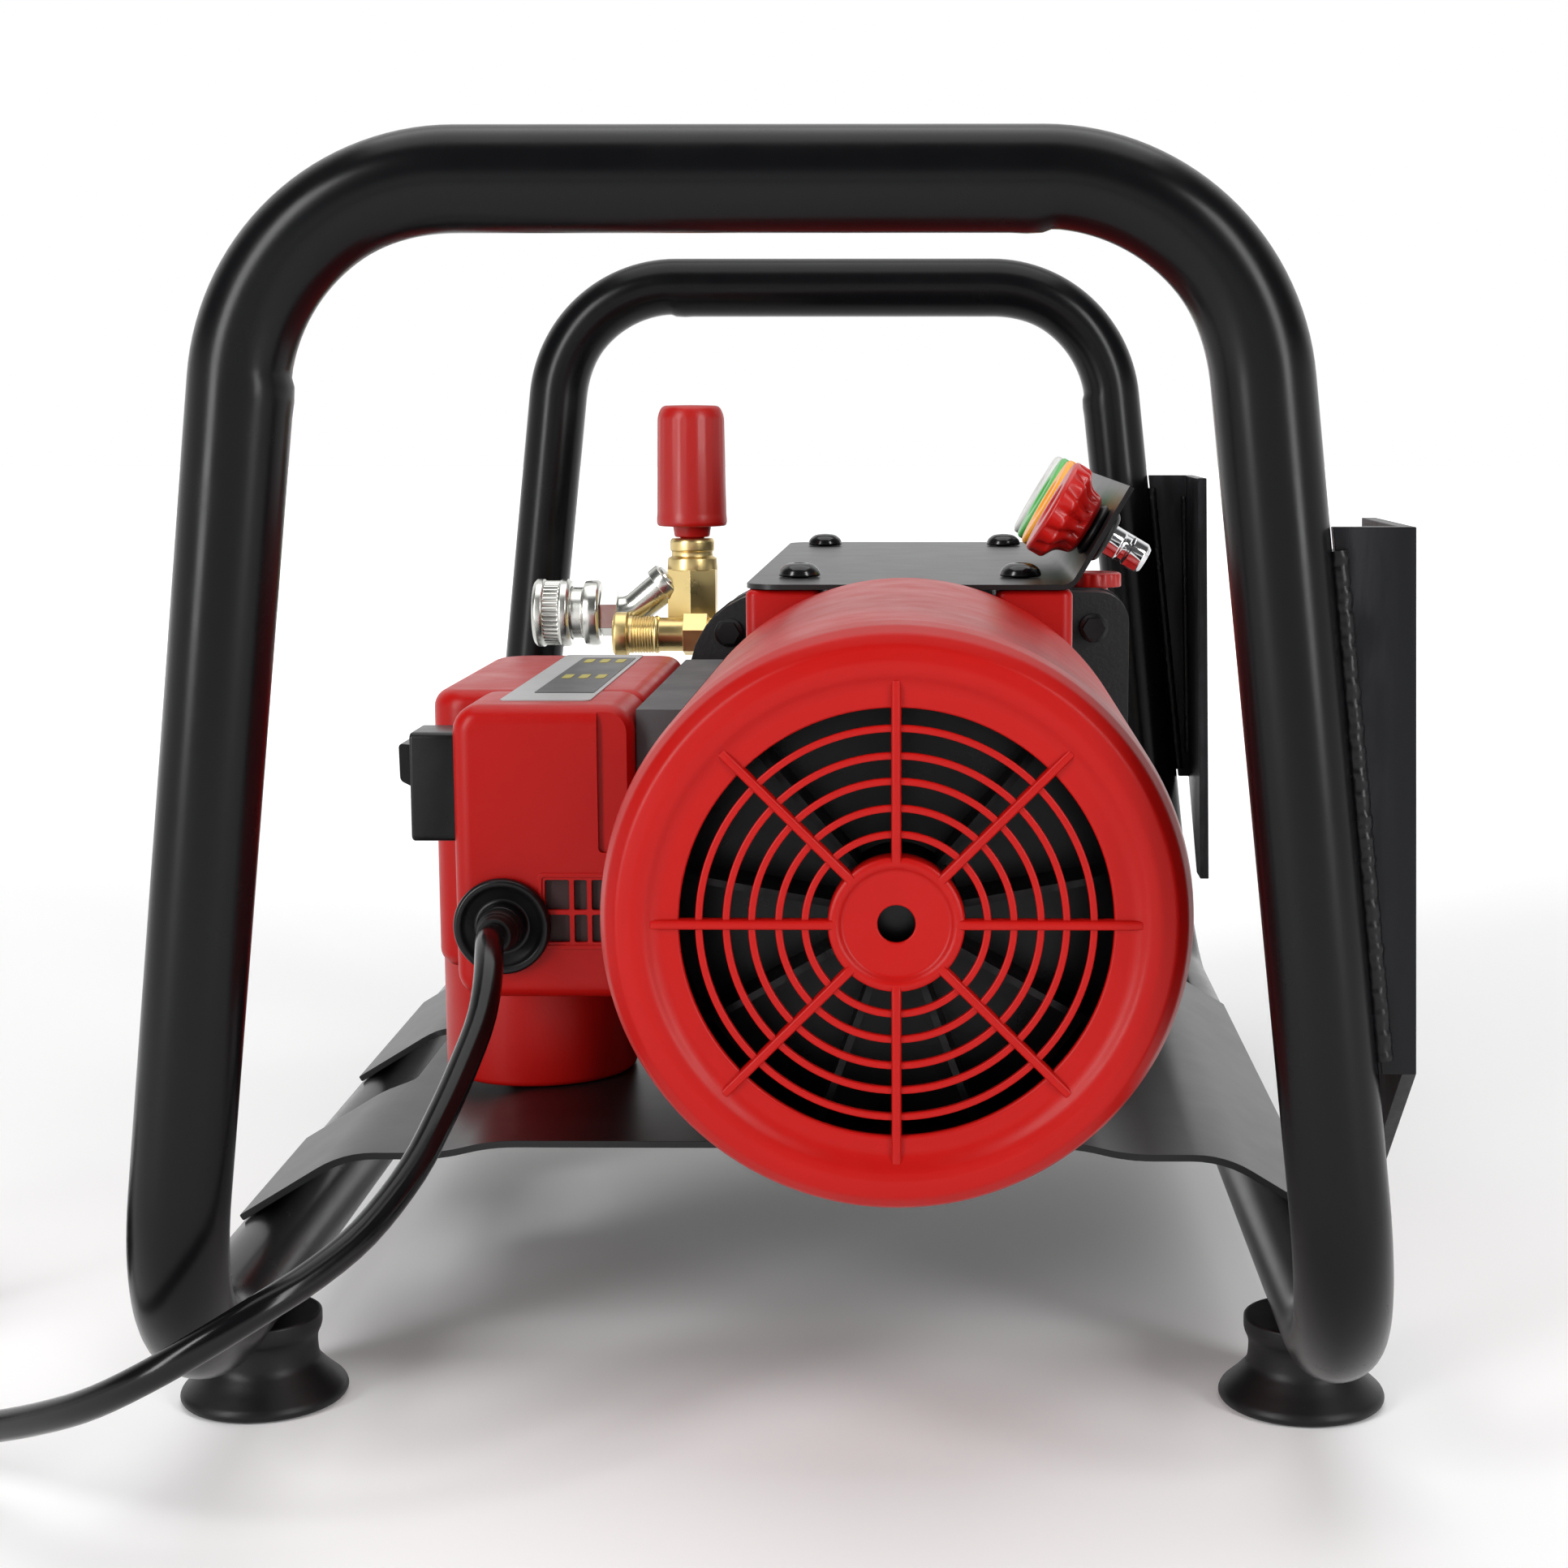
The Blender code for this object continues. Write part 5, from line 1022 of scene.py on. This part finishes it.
def crankcase():
    low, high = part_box("crankcase")
    y0, y1 = low[1], high[1]
    left, right, top, bottom = low[0], high[0], high[2], CASE_BOTTOM
    outline = rectangle(left, right, bottom, top, (0.014, 0.012, 0.034, 0.022), 8)
    case = stand_in("crankcase", prism(outline, y0, y1), CAST, slot="dark_cast", matrix=XZ)
    for sign in (-1, 1):
        x = AXIS_X + sign * CASE_FOOT_X
        foot = prism(rectangle(x - 0.014, x + 0.014, y0 + 0.002, y0 + 0.045, 0.003), low[2], bottom + 0.004)
        boolean(case, foot, 'UNION')
    rear = circle(AXIS_X, AXIS_Z, 0.0560, 72)
    boolean(case, moved(prism(rear, y0 + 0.012, y1 + 0.01), XZ))
    boolean(case, moved(prism(circle(AXIS_X, AXIS_Z, 0.0174, 48), y0 - 0.01, y0 + 0.02), XZ))
    boolean(case, prism(circle(*OIL_CAP_AT, 0.0059, 32), top - 0.009, top + 0.01))
    soften_edges(case, 0.0016, 3)
    # raised joint line and the bolts that hold the cover
    seam_y = y0 + 0.0180
    ring = rectangle(left - 0.0006, right + 0.0006, bottom - 0.0006, top + 0.0006,
                     (0.0146, 0.0126, 0.0346, 0.0226), 8)
    inner = rectangle(left + 0.0030, right - 0.0030, bottom + 0.0030, top - 0.0030,
                      (0.011, 0.009, 0.031, 0.019), 8)
    finish_mesh("crankcase_seam", flat_ring(ring, inner, seam_y - 0.0016, seam_y + 0.0016), CAST,
                slot="dark_cast", bevel=0.0005)
    bolts = bmesh.new()
    for x, z in ((left + 0.016, top - 0.016), (right - 0.014, top - 0.014), (right - 0.010, bottom + 0.012),
                 (left + 0.010, bottom + 0.012), (left + 0.008, AXIS_Z), (right - 0.008, AXIS_Z)):
        merge(bolts, hex_bolt(0.0080, 0.0052, (x, y0 - 0.0001, z), (0, -1, 0)))
    finish_mesh("crankcase_bolts", bolts, SCREW, slot="black_screw", bevel=0.0003)
    # oil sight glass on the right side
    sight = lathe(((0, -0.001), (0.0105, -0.001), (0.0105, 0.0030), (0.0080, 0.0030), (0.0072, 0.0016),
                   (0, 0.0016)), 48, 0.0005)
    finish_mesh("sight_glass", sight, BRASS, slot="brass", matrix=along((1, 0, 0), (right, *SIGHT_AT)))


def oil_cap(top):
    """The filler's cap with its grip, on the crankcase's top."""
    low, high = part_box("oil_cap")
    x, y = (low[0] + high[0]) / 2, (low[1] + high[1]) / 2
    z = top + GAP
    cap = lathe(((0, z - 0.008), (0.0055, z - 0.008), (0.0055, z), (0.0110, z), (0.0110, z + 0.0052),
                 (0.0098, high[2] - 0.0001), (0.0040, high[2] - 0.0001), (0.0034, high[2] - 0.0012),
                 (0, high[2] - 0.0012)),
                96, 0.0006, flutes=16, depth=0.0007, flute_z=(z + 0.0008, z + 0.0050, 0.010))
    stand_in("oil_cap", cap, RED_GLOSS, body="oil_cap_body", slot="red_plastic",
             matrix=Matrix.Translation((x, y, 0)))


def pump_head():
    low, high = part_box("pump_head")
    plate_z = high[2]
    hx0, hx1, hy0, hy1, hz0, hz1 = low[0], high[0], low[1], high[1], low[2], HEAD_TOP
    head = stand_in("pump_head", pillow(hx0, hx1, hz0, hz1, 0.010, hy0, hy1, 0.0030, at_low=False), ALU,
                    slot="aluminium", matrix=XZ)
    for sign in (-1, 1):
        x = PLATE_X + sign * SCREW_X
        boolean(head, prism(circle(x, SCREW_Y[1], 0.0085, 32), hz1 - 0.012, plate_z), 'UNION')
        boolean(head, prism(circle(x, SCREW_Y[1], 0.0034, 24), plate_z - 0.014, plate_z + 0.01))
    for k in range(3):
        z = 0.135 + 0.030 * k
        groove = prism(rectangle(hx0 + 0.012, hx1 - 0.012, z - 0.0035, z + 0.0035, 0.0033),
                       hy1 - 0.004, hy1 + 0.01)
        boolean(head, moved(groove, XZ))
    soften_edges(head, 0.0008, 2)
    bolts = bmesh.new()
    for x in (hx0 + 0.010, hx1 - 0.010):
        for k in range(4):
            merge(bolts, socket_bolt(0.0055, 0.0060, (x, hy1 - 0.0002, hz0 + 0.012 + 0.0325 * k), (0, 1, 0)))
    finish_mesh("head_bolts", bolts, STEEL, slot="steel")
    caps = bmesh.new()
    for side, x in ((-1, hx0), (1, hx1)):
        for y in (0.1480, 0.2030):
            for z in (0.1500, 0.1850):
                if side == 1 or z > 0.16:
                    at = (x + side * 0.0002, y, z)
                    merge(caps, hex_bolt(0.0150, 0.0070, at, (side, 0, 0), washer=False))
    finish_mesh("valve_caps", caps, BRASS, slot="brass", bevel=0.0006)


VALVE_X, VALVE_Y = -0.0565, 0.1560
OUTLET_Y, OUTLET_Z = 0.1395, 0.2105
COUPLER_Z, COUPLER_X0, COUPLER_X1 = 0.2184, -0.1240, -0.0960


def thread_profile(r, start, end, pitch=0.0012, depth=0.0005):
    """The outline of a thread between two places along the axis."""
    points = []
    count = int((end - start) / pitch)
    for k in range(count):
        z = start + k * pitch
        points += [(r, z), (r, z + pitch * 0.3), (r - depth, z + pitch * 0.5), (r - depth, z + pitch * 0.8)]
    return points + [(r, end)]


def valve_body():
    """The outlet's barrel with the unloader valve's body on it."""
    low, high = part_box("outlet_barrel")
    x0, x1 = low[0], high[0]
    length = x1 - x0
    barrel = lathe([(0, 0), (0.0080, 0), (0.0095, 0.0012), (0.0095, 0.0060), (0.0078, 0.0066)]
                   + thread_profile(0.0080, 0.0080, 0.0180)
                   + [(0.0080, 0.0190), (0.0072, 0.0196), (0.0072, length - 0.022),
                      (0.0080, length - 0.021), (0.0080, length), (0, length)], 48, 0.0003, 2)
    body = moved(barrel, along((1, 0, 0), (x0, OUTLET_Y, OUTLET_Z)))
    merge(body, moved(prism(circle(0, 0, 0.0094, 6, 0.26), 0.0300, 0.0400),
                      along((1, 0, 0), (x0, OUTLET_Y, OUTLET_Z))))
    top = high[2]
    merge(body, prism(circle(VALVE_X, VALVE_Y, 0.0118, 6, math.pi / 6), low[2] + 0.004, top - 0.0130))
    collar = lathe(((0.0054, top - 0.0090), (0.0054, top), (0.0088, top), (0.0094, top - 0.0012),
                    (0.0094, top - 0.0050), (0.0088, top - 0.0056), (0.0088, top - 0.0076),
                    (0.0104, top - 0.0084), (0.0108, top - 0.0135), (0.0, top - 0.0135),
                    (0.0, top - 0.0090)), 48, 0.0004)
    merge(body, moved(collar, Matrix.Translation((VALVE_X, VALVE_Y, 0))))
    stand_in("outlet_barrel", body, BRASS, slot="brass", bevel=0.0004)


def unloader_knob(top):
    low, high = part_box("unloader_knob")
    z0, z1 = 0.2560, high[2]
    knob = lathe(((0, low[2]), (0.0050, low[2]), (0.0050, top + 0.0006), (0.0075, top + 0.0006),
                  (0.0082, z0, 0.001), (0.0144, z0 - 0.0002), (0.0150, z0 + 0.0010), (0.0150, z0 + 0.0030),
                  (0.0148, z0 + 0.0050), (0.0142, z1 - 0.0050, 0.003), (0.0122, z1 - 0.0006, 0.002),
                  (0.0060, z1 - 0.0004), (0, z1 - 0.0003)),
                 96, 0.0008, 5, flutes=24, depth=0.00018, flute_z=(z0 + 0.0060, z1 - 0.0060, 0.0120))
    stand_in("unloader_knob", knob, RED_GLOSS, body="knob", slot="red_plastic",
             matrix=Matrix.Translation((VALVE_X, VALVE_Y, 0)))


def outlet_elbow():
    """Chrome elbow from the valve to the coupler, with its nut."""
    start = Vector((VALVE_X - 0.0092, VALVE_Y, 0.2330))
    end = Vector((COUPLER_X1 + 0.0080, VALVE_Y, COUPLER_Z))
    knee = Vector((COUPLER_X1 + 0.0130, VALVE_Y, COUPLER_Z))
    line = [start + (knee - start) * k / 6 for k in range(6)]
    bend = [(1 - t) ** 2 * line[-1] + 2 * t * (1 - t) * knee + t * t * end
            for t in [k / 8 for k in range(1, 9)]]
    elbow = sweep(line + bend, 0.0070, 32)
    nut = prism(circle(0, 0, 0.0102, 6, 0.1), 0.0, 0.0072)
    merge(elbow, moved(nut, along((1, 0, 0), (COUPLER_X1 + GAP, VALVE_Y, COUPLER_Z))))
    ferrule = lathe(((0, 0), (0.0088, 0), (0.0088, 0.0050), (0, 0.0050)), 40, 0.0006)
    merge(elbow, moved(ferrule, along(start - knee, start - (start - knee).normalized() * 0.0060)))
    stand_in("outlet_elbow", elbow, NICKEL, slot="chrome", bevel=0.0004)


def coupler():
    """Quick coupler: body, and the sliding collar with its grip."""
    length = COUPLER_X1 - COUPLER_X0
    bore = 0.0065
    body = lathe(((bore + 0.0006, 0), (0.0104, 0), (0.0110, 0.0008), (0.0110, length - 0.0075),
                  (0.0136, length - 0.0066), (0.0140, length - 0.0040), (0.0140, length - 0.0010),
                  (0.0130, length), (0, length), (0, length - 0.0062), (bore, length - 0.0062),
                  (bore, 0.0010)), 72, 0.0004)
    stand_in("coupler_body", body, NICKEL, slot="chrome",
             matrix=along((1, 0, 0), (COUPLER_X0, VALVE_Y, COUPLER_Z)))
    collar = lathe(((0.0114, 0), (0.0132, 0), (0.0146, 0.0014), (0.0146, 0.0040), (0.0139, 0.0048),
                    (0.0139, 0.0112), (0.0146, 0.0120), (0.0146, 0.0146), (0.0134, 0.0160),
                    (0.0114, 0.0160)), 144, 0.0004,
                   flutes=36, depth=0.0006, flute_z=(0.0046, 0.0114, 0.0130))
    stand_in("coupler_collar", collar, NICKEL, body="collar", slot="chrome",
             matrix=along((1, 0, 0), (COUPLER_X0 - 0.0005, VALVE_Y, COUPLER_Z)))


def inlet():
    """Water inlet with a hose thread."""
    x0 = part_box("inlet_fitting")[0][0]
    inlet = lathe([(0.0070, 0), (0.0118, 0)] + thread_profile(0.0125, 0.0008, 0.0096, 0.0018, 0.0009)
                  + [(0.0105, 0.0108), (0.0105, 0.0182), (0.0112, 0.0188), (0.0112, 0.0250), (0, 0.0250),
                     (0, 0.0210), (0.0070, 0.0210)], 56, 0.0003, 2)
    merge(inlet, prism(circle(0, 0, 0.0140, 6), 0.0180, 0.0248))
    stand_in("inlet_fitting", inlet, BRASS, slot="brass", bevel=0.0004,
             matrix=along((1, 0, 0), (x0, *INLET_AT)))


crankcase()
oil_cap(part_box("crankcase")[1][2])
pump_head()
valve_body()
unloader_knob(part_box("outlet_barrel")[1][2])
outlet_elbow()
coupler()
inlet()


# ======================================================================= switch box
BOX_LEFT, BOX_RIGHT, BOX_WIDE_LEFT = -0.1050, -0.0475, -0.1200
BOX_STEP_Y, BOX_Y1, BOX_TOP, BOX_BOTTOM = -0.1065, 0.0250, 0.2127, 0.1185


VENT_COLUMNS = ((-0.0760, -0.0682), (-0.0668, -0.0626), (-0.0612, -0.0540))
VENT_ROWS = ((0.1372, 0.1462), (0.1476, 0.1574))
LABEL_PLATE = (-0.0915, -0.0625, -0.1360, 0.0185)
LABEL_FIELD = (-0.0835, -0.0640, -0.1150, 0.0050)
MARK_X, MARK_Y = (-0.0795, -0.0738, -0.0680), (-0.0640, -0.0080)


def box_cover():
    cover = stand_in("terminal_box",
                     pillow(BOX_LEFT, BOX_RIGHT, BOX_BOTTOM, BOX_TOP, 0.0085, BOX_Y0, BOX_STEP_Y - GAP,
                            0.0062, at_high=False, steps=7),
                     RED, slot="red_plastic", matrix=XZ)
    # the cover's edge next to the pad is set back
    strip = prism(rectangle(-0.0588, -0.0400, 0.1660, 0.2300, 0.0015, 3), BOX_Y0 - 0.010, BOX_Y0 + 0.0016)
    boolean(cover, moved(strip, XZ))
    # vent: three columns by two rows, sunk into the front, in a raised border
    floor = bmesh.new()
    for x0, x1 in VENT_COLUMNS:
        for z0, z1 in VENT_ROWS:
            pocket = prism(rectangle(x0, x1, z0, z1, 0.0006, 2), BOX_Y0 - 0.004, BOX_Y0 + 0.0024)
            boolean(cover, moved(pocket, XZ))
            # each pocket's floor is a thin tile painted very dark red: painted shade in the recess
            tile = prism(rectangle(x0 + 0.00005, x1 - 0.00005, z0 + 0.00005, z1 - 0.00005, 0.0005, 2),
                         BOX_Y0 + 0.0019, BOX_Y0 + 0.00235)
            merge(floor, moved(tile, XZ))
    finish_mesh("vent_painted_shade_floor", floor, PAINTED_SHADE_RED, slot="red_plastic")
    x0, x1, z0, z1 = VENT_COLUMNS[0][0], VENT_COLUMNS[2][1], VENT_ROWS[0][0], VENT_ROWS[1][1]
    outer = rectangle(x0 - 0.0022, x1 + 0.0014, z0 - 0.0022, z1 + 0.0022, 0.0016, 4)
    inner = rectangle(x0 - 0.0008, x1 + 0.0004, z0 - 0.0008, z1 + 0.0008, 0.0008, 4)
    finish_mesh("vent_border", flat_ring(outer, inner, BOX_Y0 + 0.0003, BOX_Y0 - 0.0005), RED,
                slot="red_plastic", bevel=0.0003)


def box_housing():
    """The wide housing with the round cup below."""
    radii = (0.004, 0.010, 0.016, 0.012)
    stand_in("capacitor_housing",
             pillow(BOX_WIDE_LEFT, BOX_RIGHT, BOX_STEP_Y, BOX_Y1, radii, BOX_BOTTOM, BOX_TOP, 0.0060,
                    steps=7),
             RED, slot="red_plastic")
    base = DECK_TOP + DECK_RAISE + GAP
    cup = lathe(((0, base), (CUP_R - 0.0008, base), (CUP_R, base + 0.0012), (CUP_R, BOX_BOTTOM + 0.004),
                 (0, BOX_BOTTOM + 0.004)), 96, 0.0010)
    merge(cup, lathe(((0, 0.0518), (0.0108, 0.0518), (0.0128, 0.0536), (0.0128, base + 0.004),
                      (0, base + 0.004)), 64, 0.0014))
    finish_mesh("capacitor_cup", cup, RED, slot="red_plastic", matrix=Matrix.Translation((CUP_X, CUP_Y, 0)))


def box_label():
    """Blank rating label on top: grey plate, dark field, plain yellow marks."""
    z = BOX_TOP + 0.00015
    plate = prism(rectangle(*LABEL_PLATE, 0.002), z - 0.0004, z + 0.0002)
    finish_mesh("label_plate", plate, LABEL, slot="aluminium")
    field = prism(rectangle(*LABEL_FIELD, 0.0008), z + 0.0001, z + 0.0004)
    finish_mesh("label_field", field, LABEL_DARK, slot="black_plastic")
    marks = bmesh.new()
    for y in MARK_Y:
        for x in MARK_X:
            merge(marks, prism(rectangle(x - 0.0016, x + 0.0016, y - 0.0060, y + 0.0060, 0.0008, 3),
                               z + 0.00035, z + 0.00055))
    finish_mesh("label_marks", marks, MARK, slot="nozzle_yellow")


def pad_and_gland():
    """The pad between the box and the cowl, and the cord's gland."""
    NODES["terminal_pad"].material_slots[0].material = PAD
    soften_edges(NODES["terminal_pad"], 0.0016, 4, 20)
    collar = 0.0070
    ring = lathe(((CORD_R + 0.0004, -0.0020), (0.0072, -0.0020), (0.0072, 0.0002), (0.0148, 0.0002),
                  (0.0154, 0.0010), (0.0154, 0.0030), (0.0146, 0.0040), (0.0132, 0.0040), (0.0120, 0.0030),
                  (0.0086, 0.0018), (0.0078, 0.0022), (0.0074, 0.0034), (0.0072, collar - 0.0006),
                  (0.0066, collar), (CORD_R + 0.0004, collar)), 96, 0.0007, 5)
    stand_in("cable_gland", ring, BLACK, slot="black_plastic",
             matrix=along((0, -1, 0), (GLAND_X, BOX_Y0, GLAND_Z)))


def mains_switch():
    """The rocker switch on the housing's left side."""
    low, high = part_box("switch_bezel")
    x_out, x_in = low[0], high[0]
    y0, y1, z0, z1 = low[1], high[1], low[2], high[2]
    middle_y, middle_z = (y0 + y1) / 2, (z0 + z1) / 2
    bezel = pillow(y0, y1, z0, z1, 0.0022, x_out, x_in, 0.0010, at_high=False, steps=4)
    bezel = stand_in("switch_bezel", bezel, BLACK, slot="black_plastic", matrix=YZ)
    opening = rectangle(middle_y - 0.0081, middle_y + 0.0081, middle_z - 0.0151, middle_z + 0.0153, 0.001, 3)
    pocket = prism(opening, x_out - 0.01, x_out + 0.0085)
    boolean(bezel, moved(pocket, YZ))
    soften_edges(bezel, 0.0004, 2)
    low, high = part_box("rocker")
    axis_x = x_out + 0.0015
    reach = axis_x - low[0]
    tip = 0.0135
    shape = ((0.0048, -0.0030, 0.001), (0.0048, 0.0030, 0.001), (0.0, tip - 0.0004, 0.001),
             (0.0006 - reach, tip, 0.0012), (-reach, tip - 0.0008, 0.0008),
             (0.0002 - reach, 0.0016, 0.0014), (0.0030 - reach, 0.0002, 0.0010), (-0.0004, -0.0010, 0.001),
             (0.0014, 0.0006 - tip, 0.001), (0.0022, -tip, 0.0006))
    outline = [(axis_x + x, middle_z + z, r) for x, z, r in shape]
    rocker = prism(rounded_path(outline, 0.001, 4), low[1], high[1])
    stand_in("rocker", rocker, BLACK, body="rocker_body", slot="black_plastic", matrix=XZ, bevel=0.0005)


box_cover()
box_housing()
box_label()
pad_and_gland()
mains_switch()


# ======================================================================= top plate, screws, nozzles
FLANGE_L, NOZZLE_UP = 0.0405, 0.0210
NOZZLE_Y, NOZZLE_PITCH = -0.0370, 0.0460
NOZZLE_IN, NOZZLE_OUT = 0.0200, 0.0190
RING_R, SHANK_R, GROMMET_R, GROMMET_T = 0.0176, 0.0056, 0.0098, 0.0030


def top_plate():
    low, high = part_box("top_plate")
    y0, y1 = low[1], high[1]
    x0, x1 = PLATE_X - PLATE_W / 2, PLATE_X + PLATE_W / 2
    under = low[2]
    top = under + PLATE_T
    up = (math.cos(FLANGE_ANGLE), math.sin(FLANGE_ANGLE))
    out = (up[1], -up[0])
    half = math.tan(FLANGE_ANGLE / 2) * PLATE_T
    outline = ((x0, under, 0.0002), (x1, under, 0.0042),
               (x1 + FLANGE_L * up[0], under + FLANGE_L * up[1], 0.0002),
               (x1 + FLANGE_L * up[0] - PLATE_T * out[0], under + FLANGE_L * up[1] - PLATE_T * out[1],
                0.0002), (x1 - half, top, 0.0030), (x0, top, 0.0002))
    plate = stand_in("top_plate", prism(rounded_path(outline, 0.001, 6), y0, y1), SHEET, slot="sheet_coat",
                     matrix=XZ)
    corner = 0.012
    for y, sign in ((y0, 1), (y1, -1)):
        points = [(x0 - 0.001, y - sign * 0.001), (x0 + corner, y - sign * 0.001), (x0 + corner, y)]
        for i in range(1, 8):
            a = (math.pi / 2) * i / 8
            points.append((x0 + corner - corner * math.sin(a), y + sign * (corner - corner * math.cos(a))))
        points += [(x0, y + sign * corner), (x0 - 0.001, y + sign * corner)]
        boolean(plate, prism(points, under - 0.01, top + 0.01))
    inward = Vector((-out[0], 0, -out[1]))
    centres = []
    for k, colour in enumerate(NOZZLE_LOOKS):
        y = NOZZLE_Y + k * NOZZLE_PITCH
        centre = Vector((x1 + NOZZLE_UP * up[0], y, under + NOZZLE_UP * up[1])) + inward * (PLATE_T / 2)
        centres.append((colour, centre))
        hole = lathe(((0, -0.006), (0.0081, -0.006), (0.0081, 0.006), (0, 0.006)), 32, 0.0)
        boolean(plate, moved(hole, along(inward, centre)))
    soften_edges(plate, 0.0004, 2)
    for colour, centre in centres:
        nozzle(colour, along(inward, centre))
    screws(top)


def nozzle(colour, matrix):
    face = PLATE_T / 2 + GAP
    inner, hole_r = SHANK_R + 0.0004, SHANK_R + 0.0022
    lip, edge = GROMMET_T, GROMMET_R
    grommet = lathe(((inner, -face - lip), (edge - 0.0016, -face - lip), (edge, -face - lip * 0.5),
                     (edge - 0.0005, -face), (hole_r, -face), (hole_r, face), (edge - 0.0005, face),
                     (edge, face + lip * 0.5), (edge - 0.0016, face + lip), (inner, face + lip)), 64, 0.0009,
                    5)
    stand_in("grommet_" + colour, grommet, RUBBER, slot="black_rubber", matrix=matrix)
    start = face + lip + GAP
    end = NOZZLE_IN
    body = "nozzle_" + colour + "_body"
    plastic = lathe(((0, start - 0.001), (RING_R - 0.0080, start), (RING_R - 0.0064, start + 0.0012),
                     (RING_R - 0.0050, start + 0.0060, 0.002), (RING_R - 0.0006, end - 0.0070, 0.001),
                     (RING_R, end - 0.0060), (RING_R, end - 0.0010), (RING_R - 0.0012, end), (0.0086, end),
                     (0.0076, end - 0.0016), (0.0034, end - 0.0030), (0, end - 0.0030)),
                    144, 0.0006, 4, flutes=14, depth=0.0021, flute_z=(start + 0.0040, end - 0.0052, 0.0120))
    stand_in("nozzle_" + colour, plastic, NOZZLE_LOOKS[colour], body=body, slot="nozzle_" + colour,
             matrix=matrix)
    r = SHANK_R
    plug = lathe(((0, -NOZZLE_OUT + 0.0050), (0.0022, -NOZZLE_OUT + 0.0050), (0.0026, -NOZZLE_OUT),
                  (r - 0.0012, -NOZZLE_OUT), (r, -NOZZLE_OUT + 0.0016), (r, -0.0124), (r - 0.0012, -0.0114),
                  (r - 0.0012, -0.0094), (r, -0.0084), (r, start - 0.0012), (0, start - 0.0012)), 64, 0.0003)
    finish_mesh("nozzle_" + colour + "_plug", plug, CHROME, body=body, slot="chrome", matrix=matrix)


def screws(top):
    face = top + GAP
    for row, y in zip(("front", "rear"), SCREW_Y):
        for side, sign in (("left", -1), ("right", 1)):
            node = "plate_screw_" + row + "_" + side
            head = lathe(((0, face - 0.0120), (0.0030, face - 0.0120), (0.0030, face), (0.0072, face),
                          (0.0076, face + 0.0006), (0.0070, face + 0.0026, 0.0016),
                          (0.0046, face + 0.0046, 0.0016), (0, face + 0.0051)), 56, 0.0004, 5)
            x = PLATE_X + sign * SCREW_X
            screw = stand_in(node, head, SCREW, slot="black_screw", matrix=Matrix.Translation((x, y, 0)))
            key = prism(circle(x, y, 0.0023, 6, 0.3 * sign), face + 0.0024, face + 0.008)
            boolean(screw, key)


top_plate()


# ======================================================================= floor and light
FLOOR_HALF, FLOOR_Z = 14.0, -0.0004


def stage():
    floor = bmesh.new()
    floor.faces.new([floor.verts.new((x * FLOOR_HALF, y * FLOOR_HALF, FLOOR_Z))
                     for x, y in ((-1, -1), (1, -1), (1, 1), (-1, 1))])
    mesh = bpy.data.meshes.new("floor")
    floor.to_mesh(mesh)
    floor.free()
    obj = bpy.data.objects.new("floor", mesh)
    SCENE.collection.objects.link(obj)
    mat = bpy.data.materials.new("floor_look")
    mat.use_nodes = True
    nodes, links = mat.node_tree.nodes, mat.node_tree.links
    shader = nodes["Principled BSDF"]
    shader.inputs["Base Color"].default_value = (0.92, 0.92, 0.92, 1.0)
    shader.inputs["Emission Color"].default_value = (1.0, 1.0, 1.0, 1.0)
    shader.inputs["Roughness"].default_value = 0.8
    shader.inputs["Specular IOR Level"].default_value = 0.1
    # the floor is lit up towards the bright wall
    coords = nodes.new("ShaderNodeTexCoord")
    split = nodes.new("ShaderNodeSeparateXYZ")
    links.new(coords.outputs["Object"], split.inputs["Vector"])
    glow = map_range(mat.node_tree, split.outputs["Y"], 0.1, 2.2, 0.05, 0.95, smooth=True)
    distance = nodes.new("ShaderNodeVectorMath")
    distance.operation = 'LENGTH'
    links.new(coords.outputs["Object"], distance.inputs[0])
    far = map_range(mat.node_tree, distance.outputs["Value"], 2.4, 4.5, 0.0, 0.85, smooth=True)
    links.new(maths(mat.node_tree, 'MAXIMUM', glow, far), shader.inputs["Emission Strength"])
    mesh.materials.append(mat)


def softbox(name, at, aim, size, power):
    data = bpy.data.lights.new(name, 'AREA')
    data.shape = 'RECTANGLE'
    data.size, data.size_y = size
    data.energy = power
    light = bpy.data.objects.new(name, data)
    SCENE.collection.objects.link(light)
    light.location = at
    light.rotation_euler = (Vector(aim) - Vector(at)).to_track_quat('-Z', 'Y').to_euler()


def lights():
    """A room with a bright wall behind the object and a dim one behind the camera, and three softboxes."""
    world = bpy.data.worlds.new("studio")
    SCENE.world = world
    world.use_nodes = True
    nodes, links = world.node_tree.nodes, world.node_tree.links
    coords = nodes.new("ShaderNodeTexCoord")
    split = nodes.new("ShaderNodeSeparateXYZ")
    links.new(coords.outputs["Generated"], split.inputs["Vector"])
    wall = map_range(world.node_tree, split.outputs["Y"], 0.15, 0.70, 0.08, 1.0, smooth=True)
    # a pale band along the horizon, so that no side of the room is black
    height = maths(world.node_tree, 'ABSOLUTE', split.outputs["Z"])
    band = map_range(world.node_tree, height, 0.08, 0.30, 0.85, 0.0, smooth=True)
    links.new(maths(world.node_tree, 'MAXIMUM', wall, band), nodes["Background"].inputs["Strength"])
    nodes["Background"].inputs["Color"].default_value = (1.0, 1.0, 1.0, 1.0)
    softbox("left", (-1.45, -1.55, 0.95), (0, 0, 0.18), (0.50, 1.7), 33.0)
    softbox("right", (1.50, -1.50, 0.95), (0, 0, 0.18), (0.45, 1.7), 26.0)
    softbox("top", (0.0, 0.15, 2.1), (0, 0, 0.1), (2.0, 1.8), 22.0)


stage()
lights()
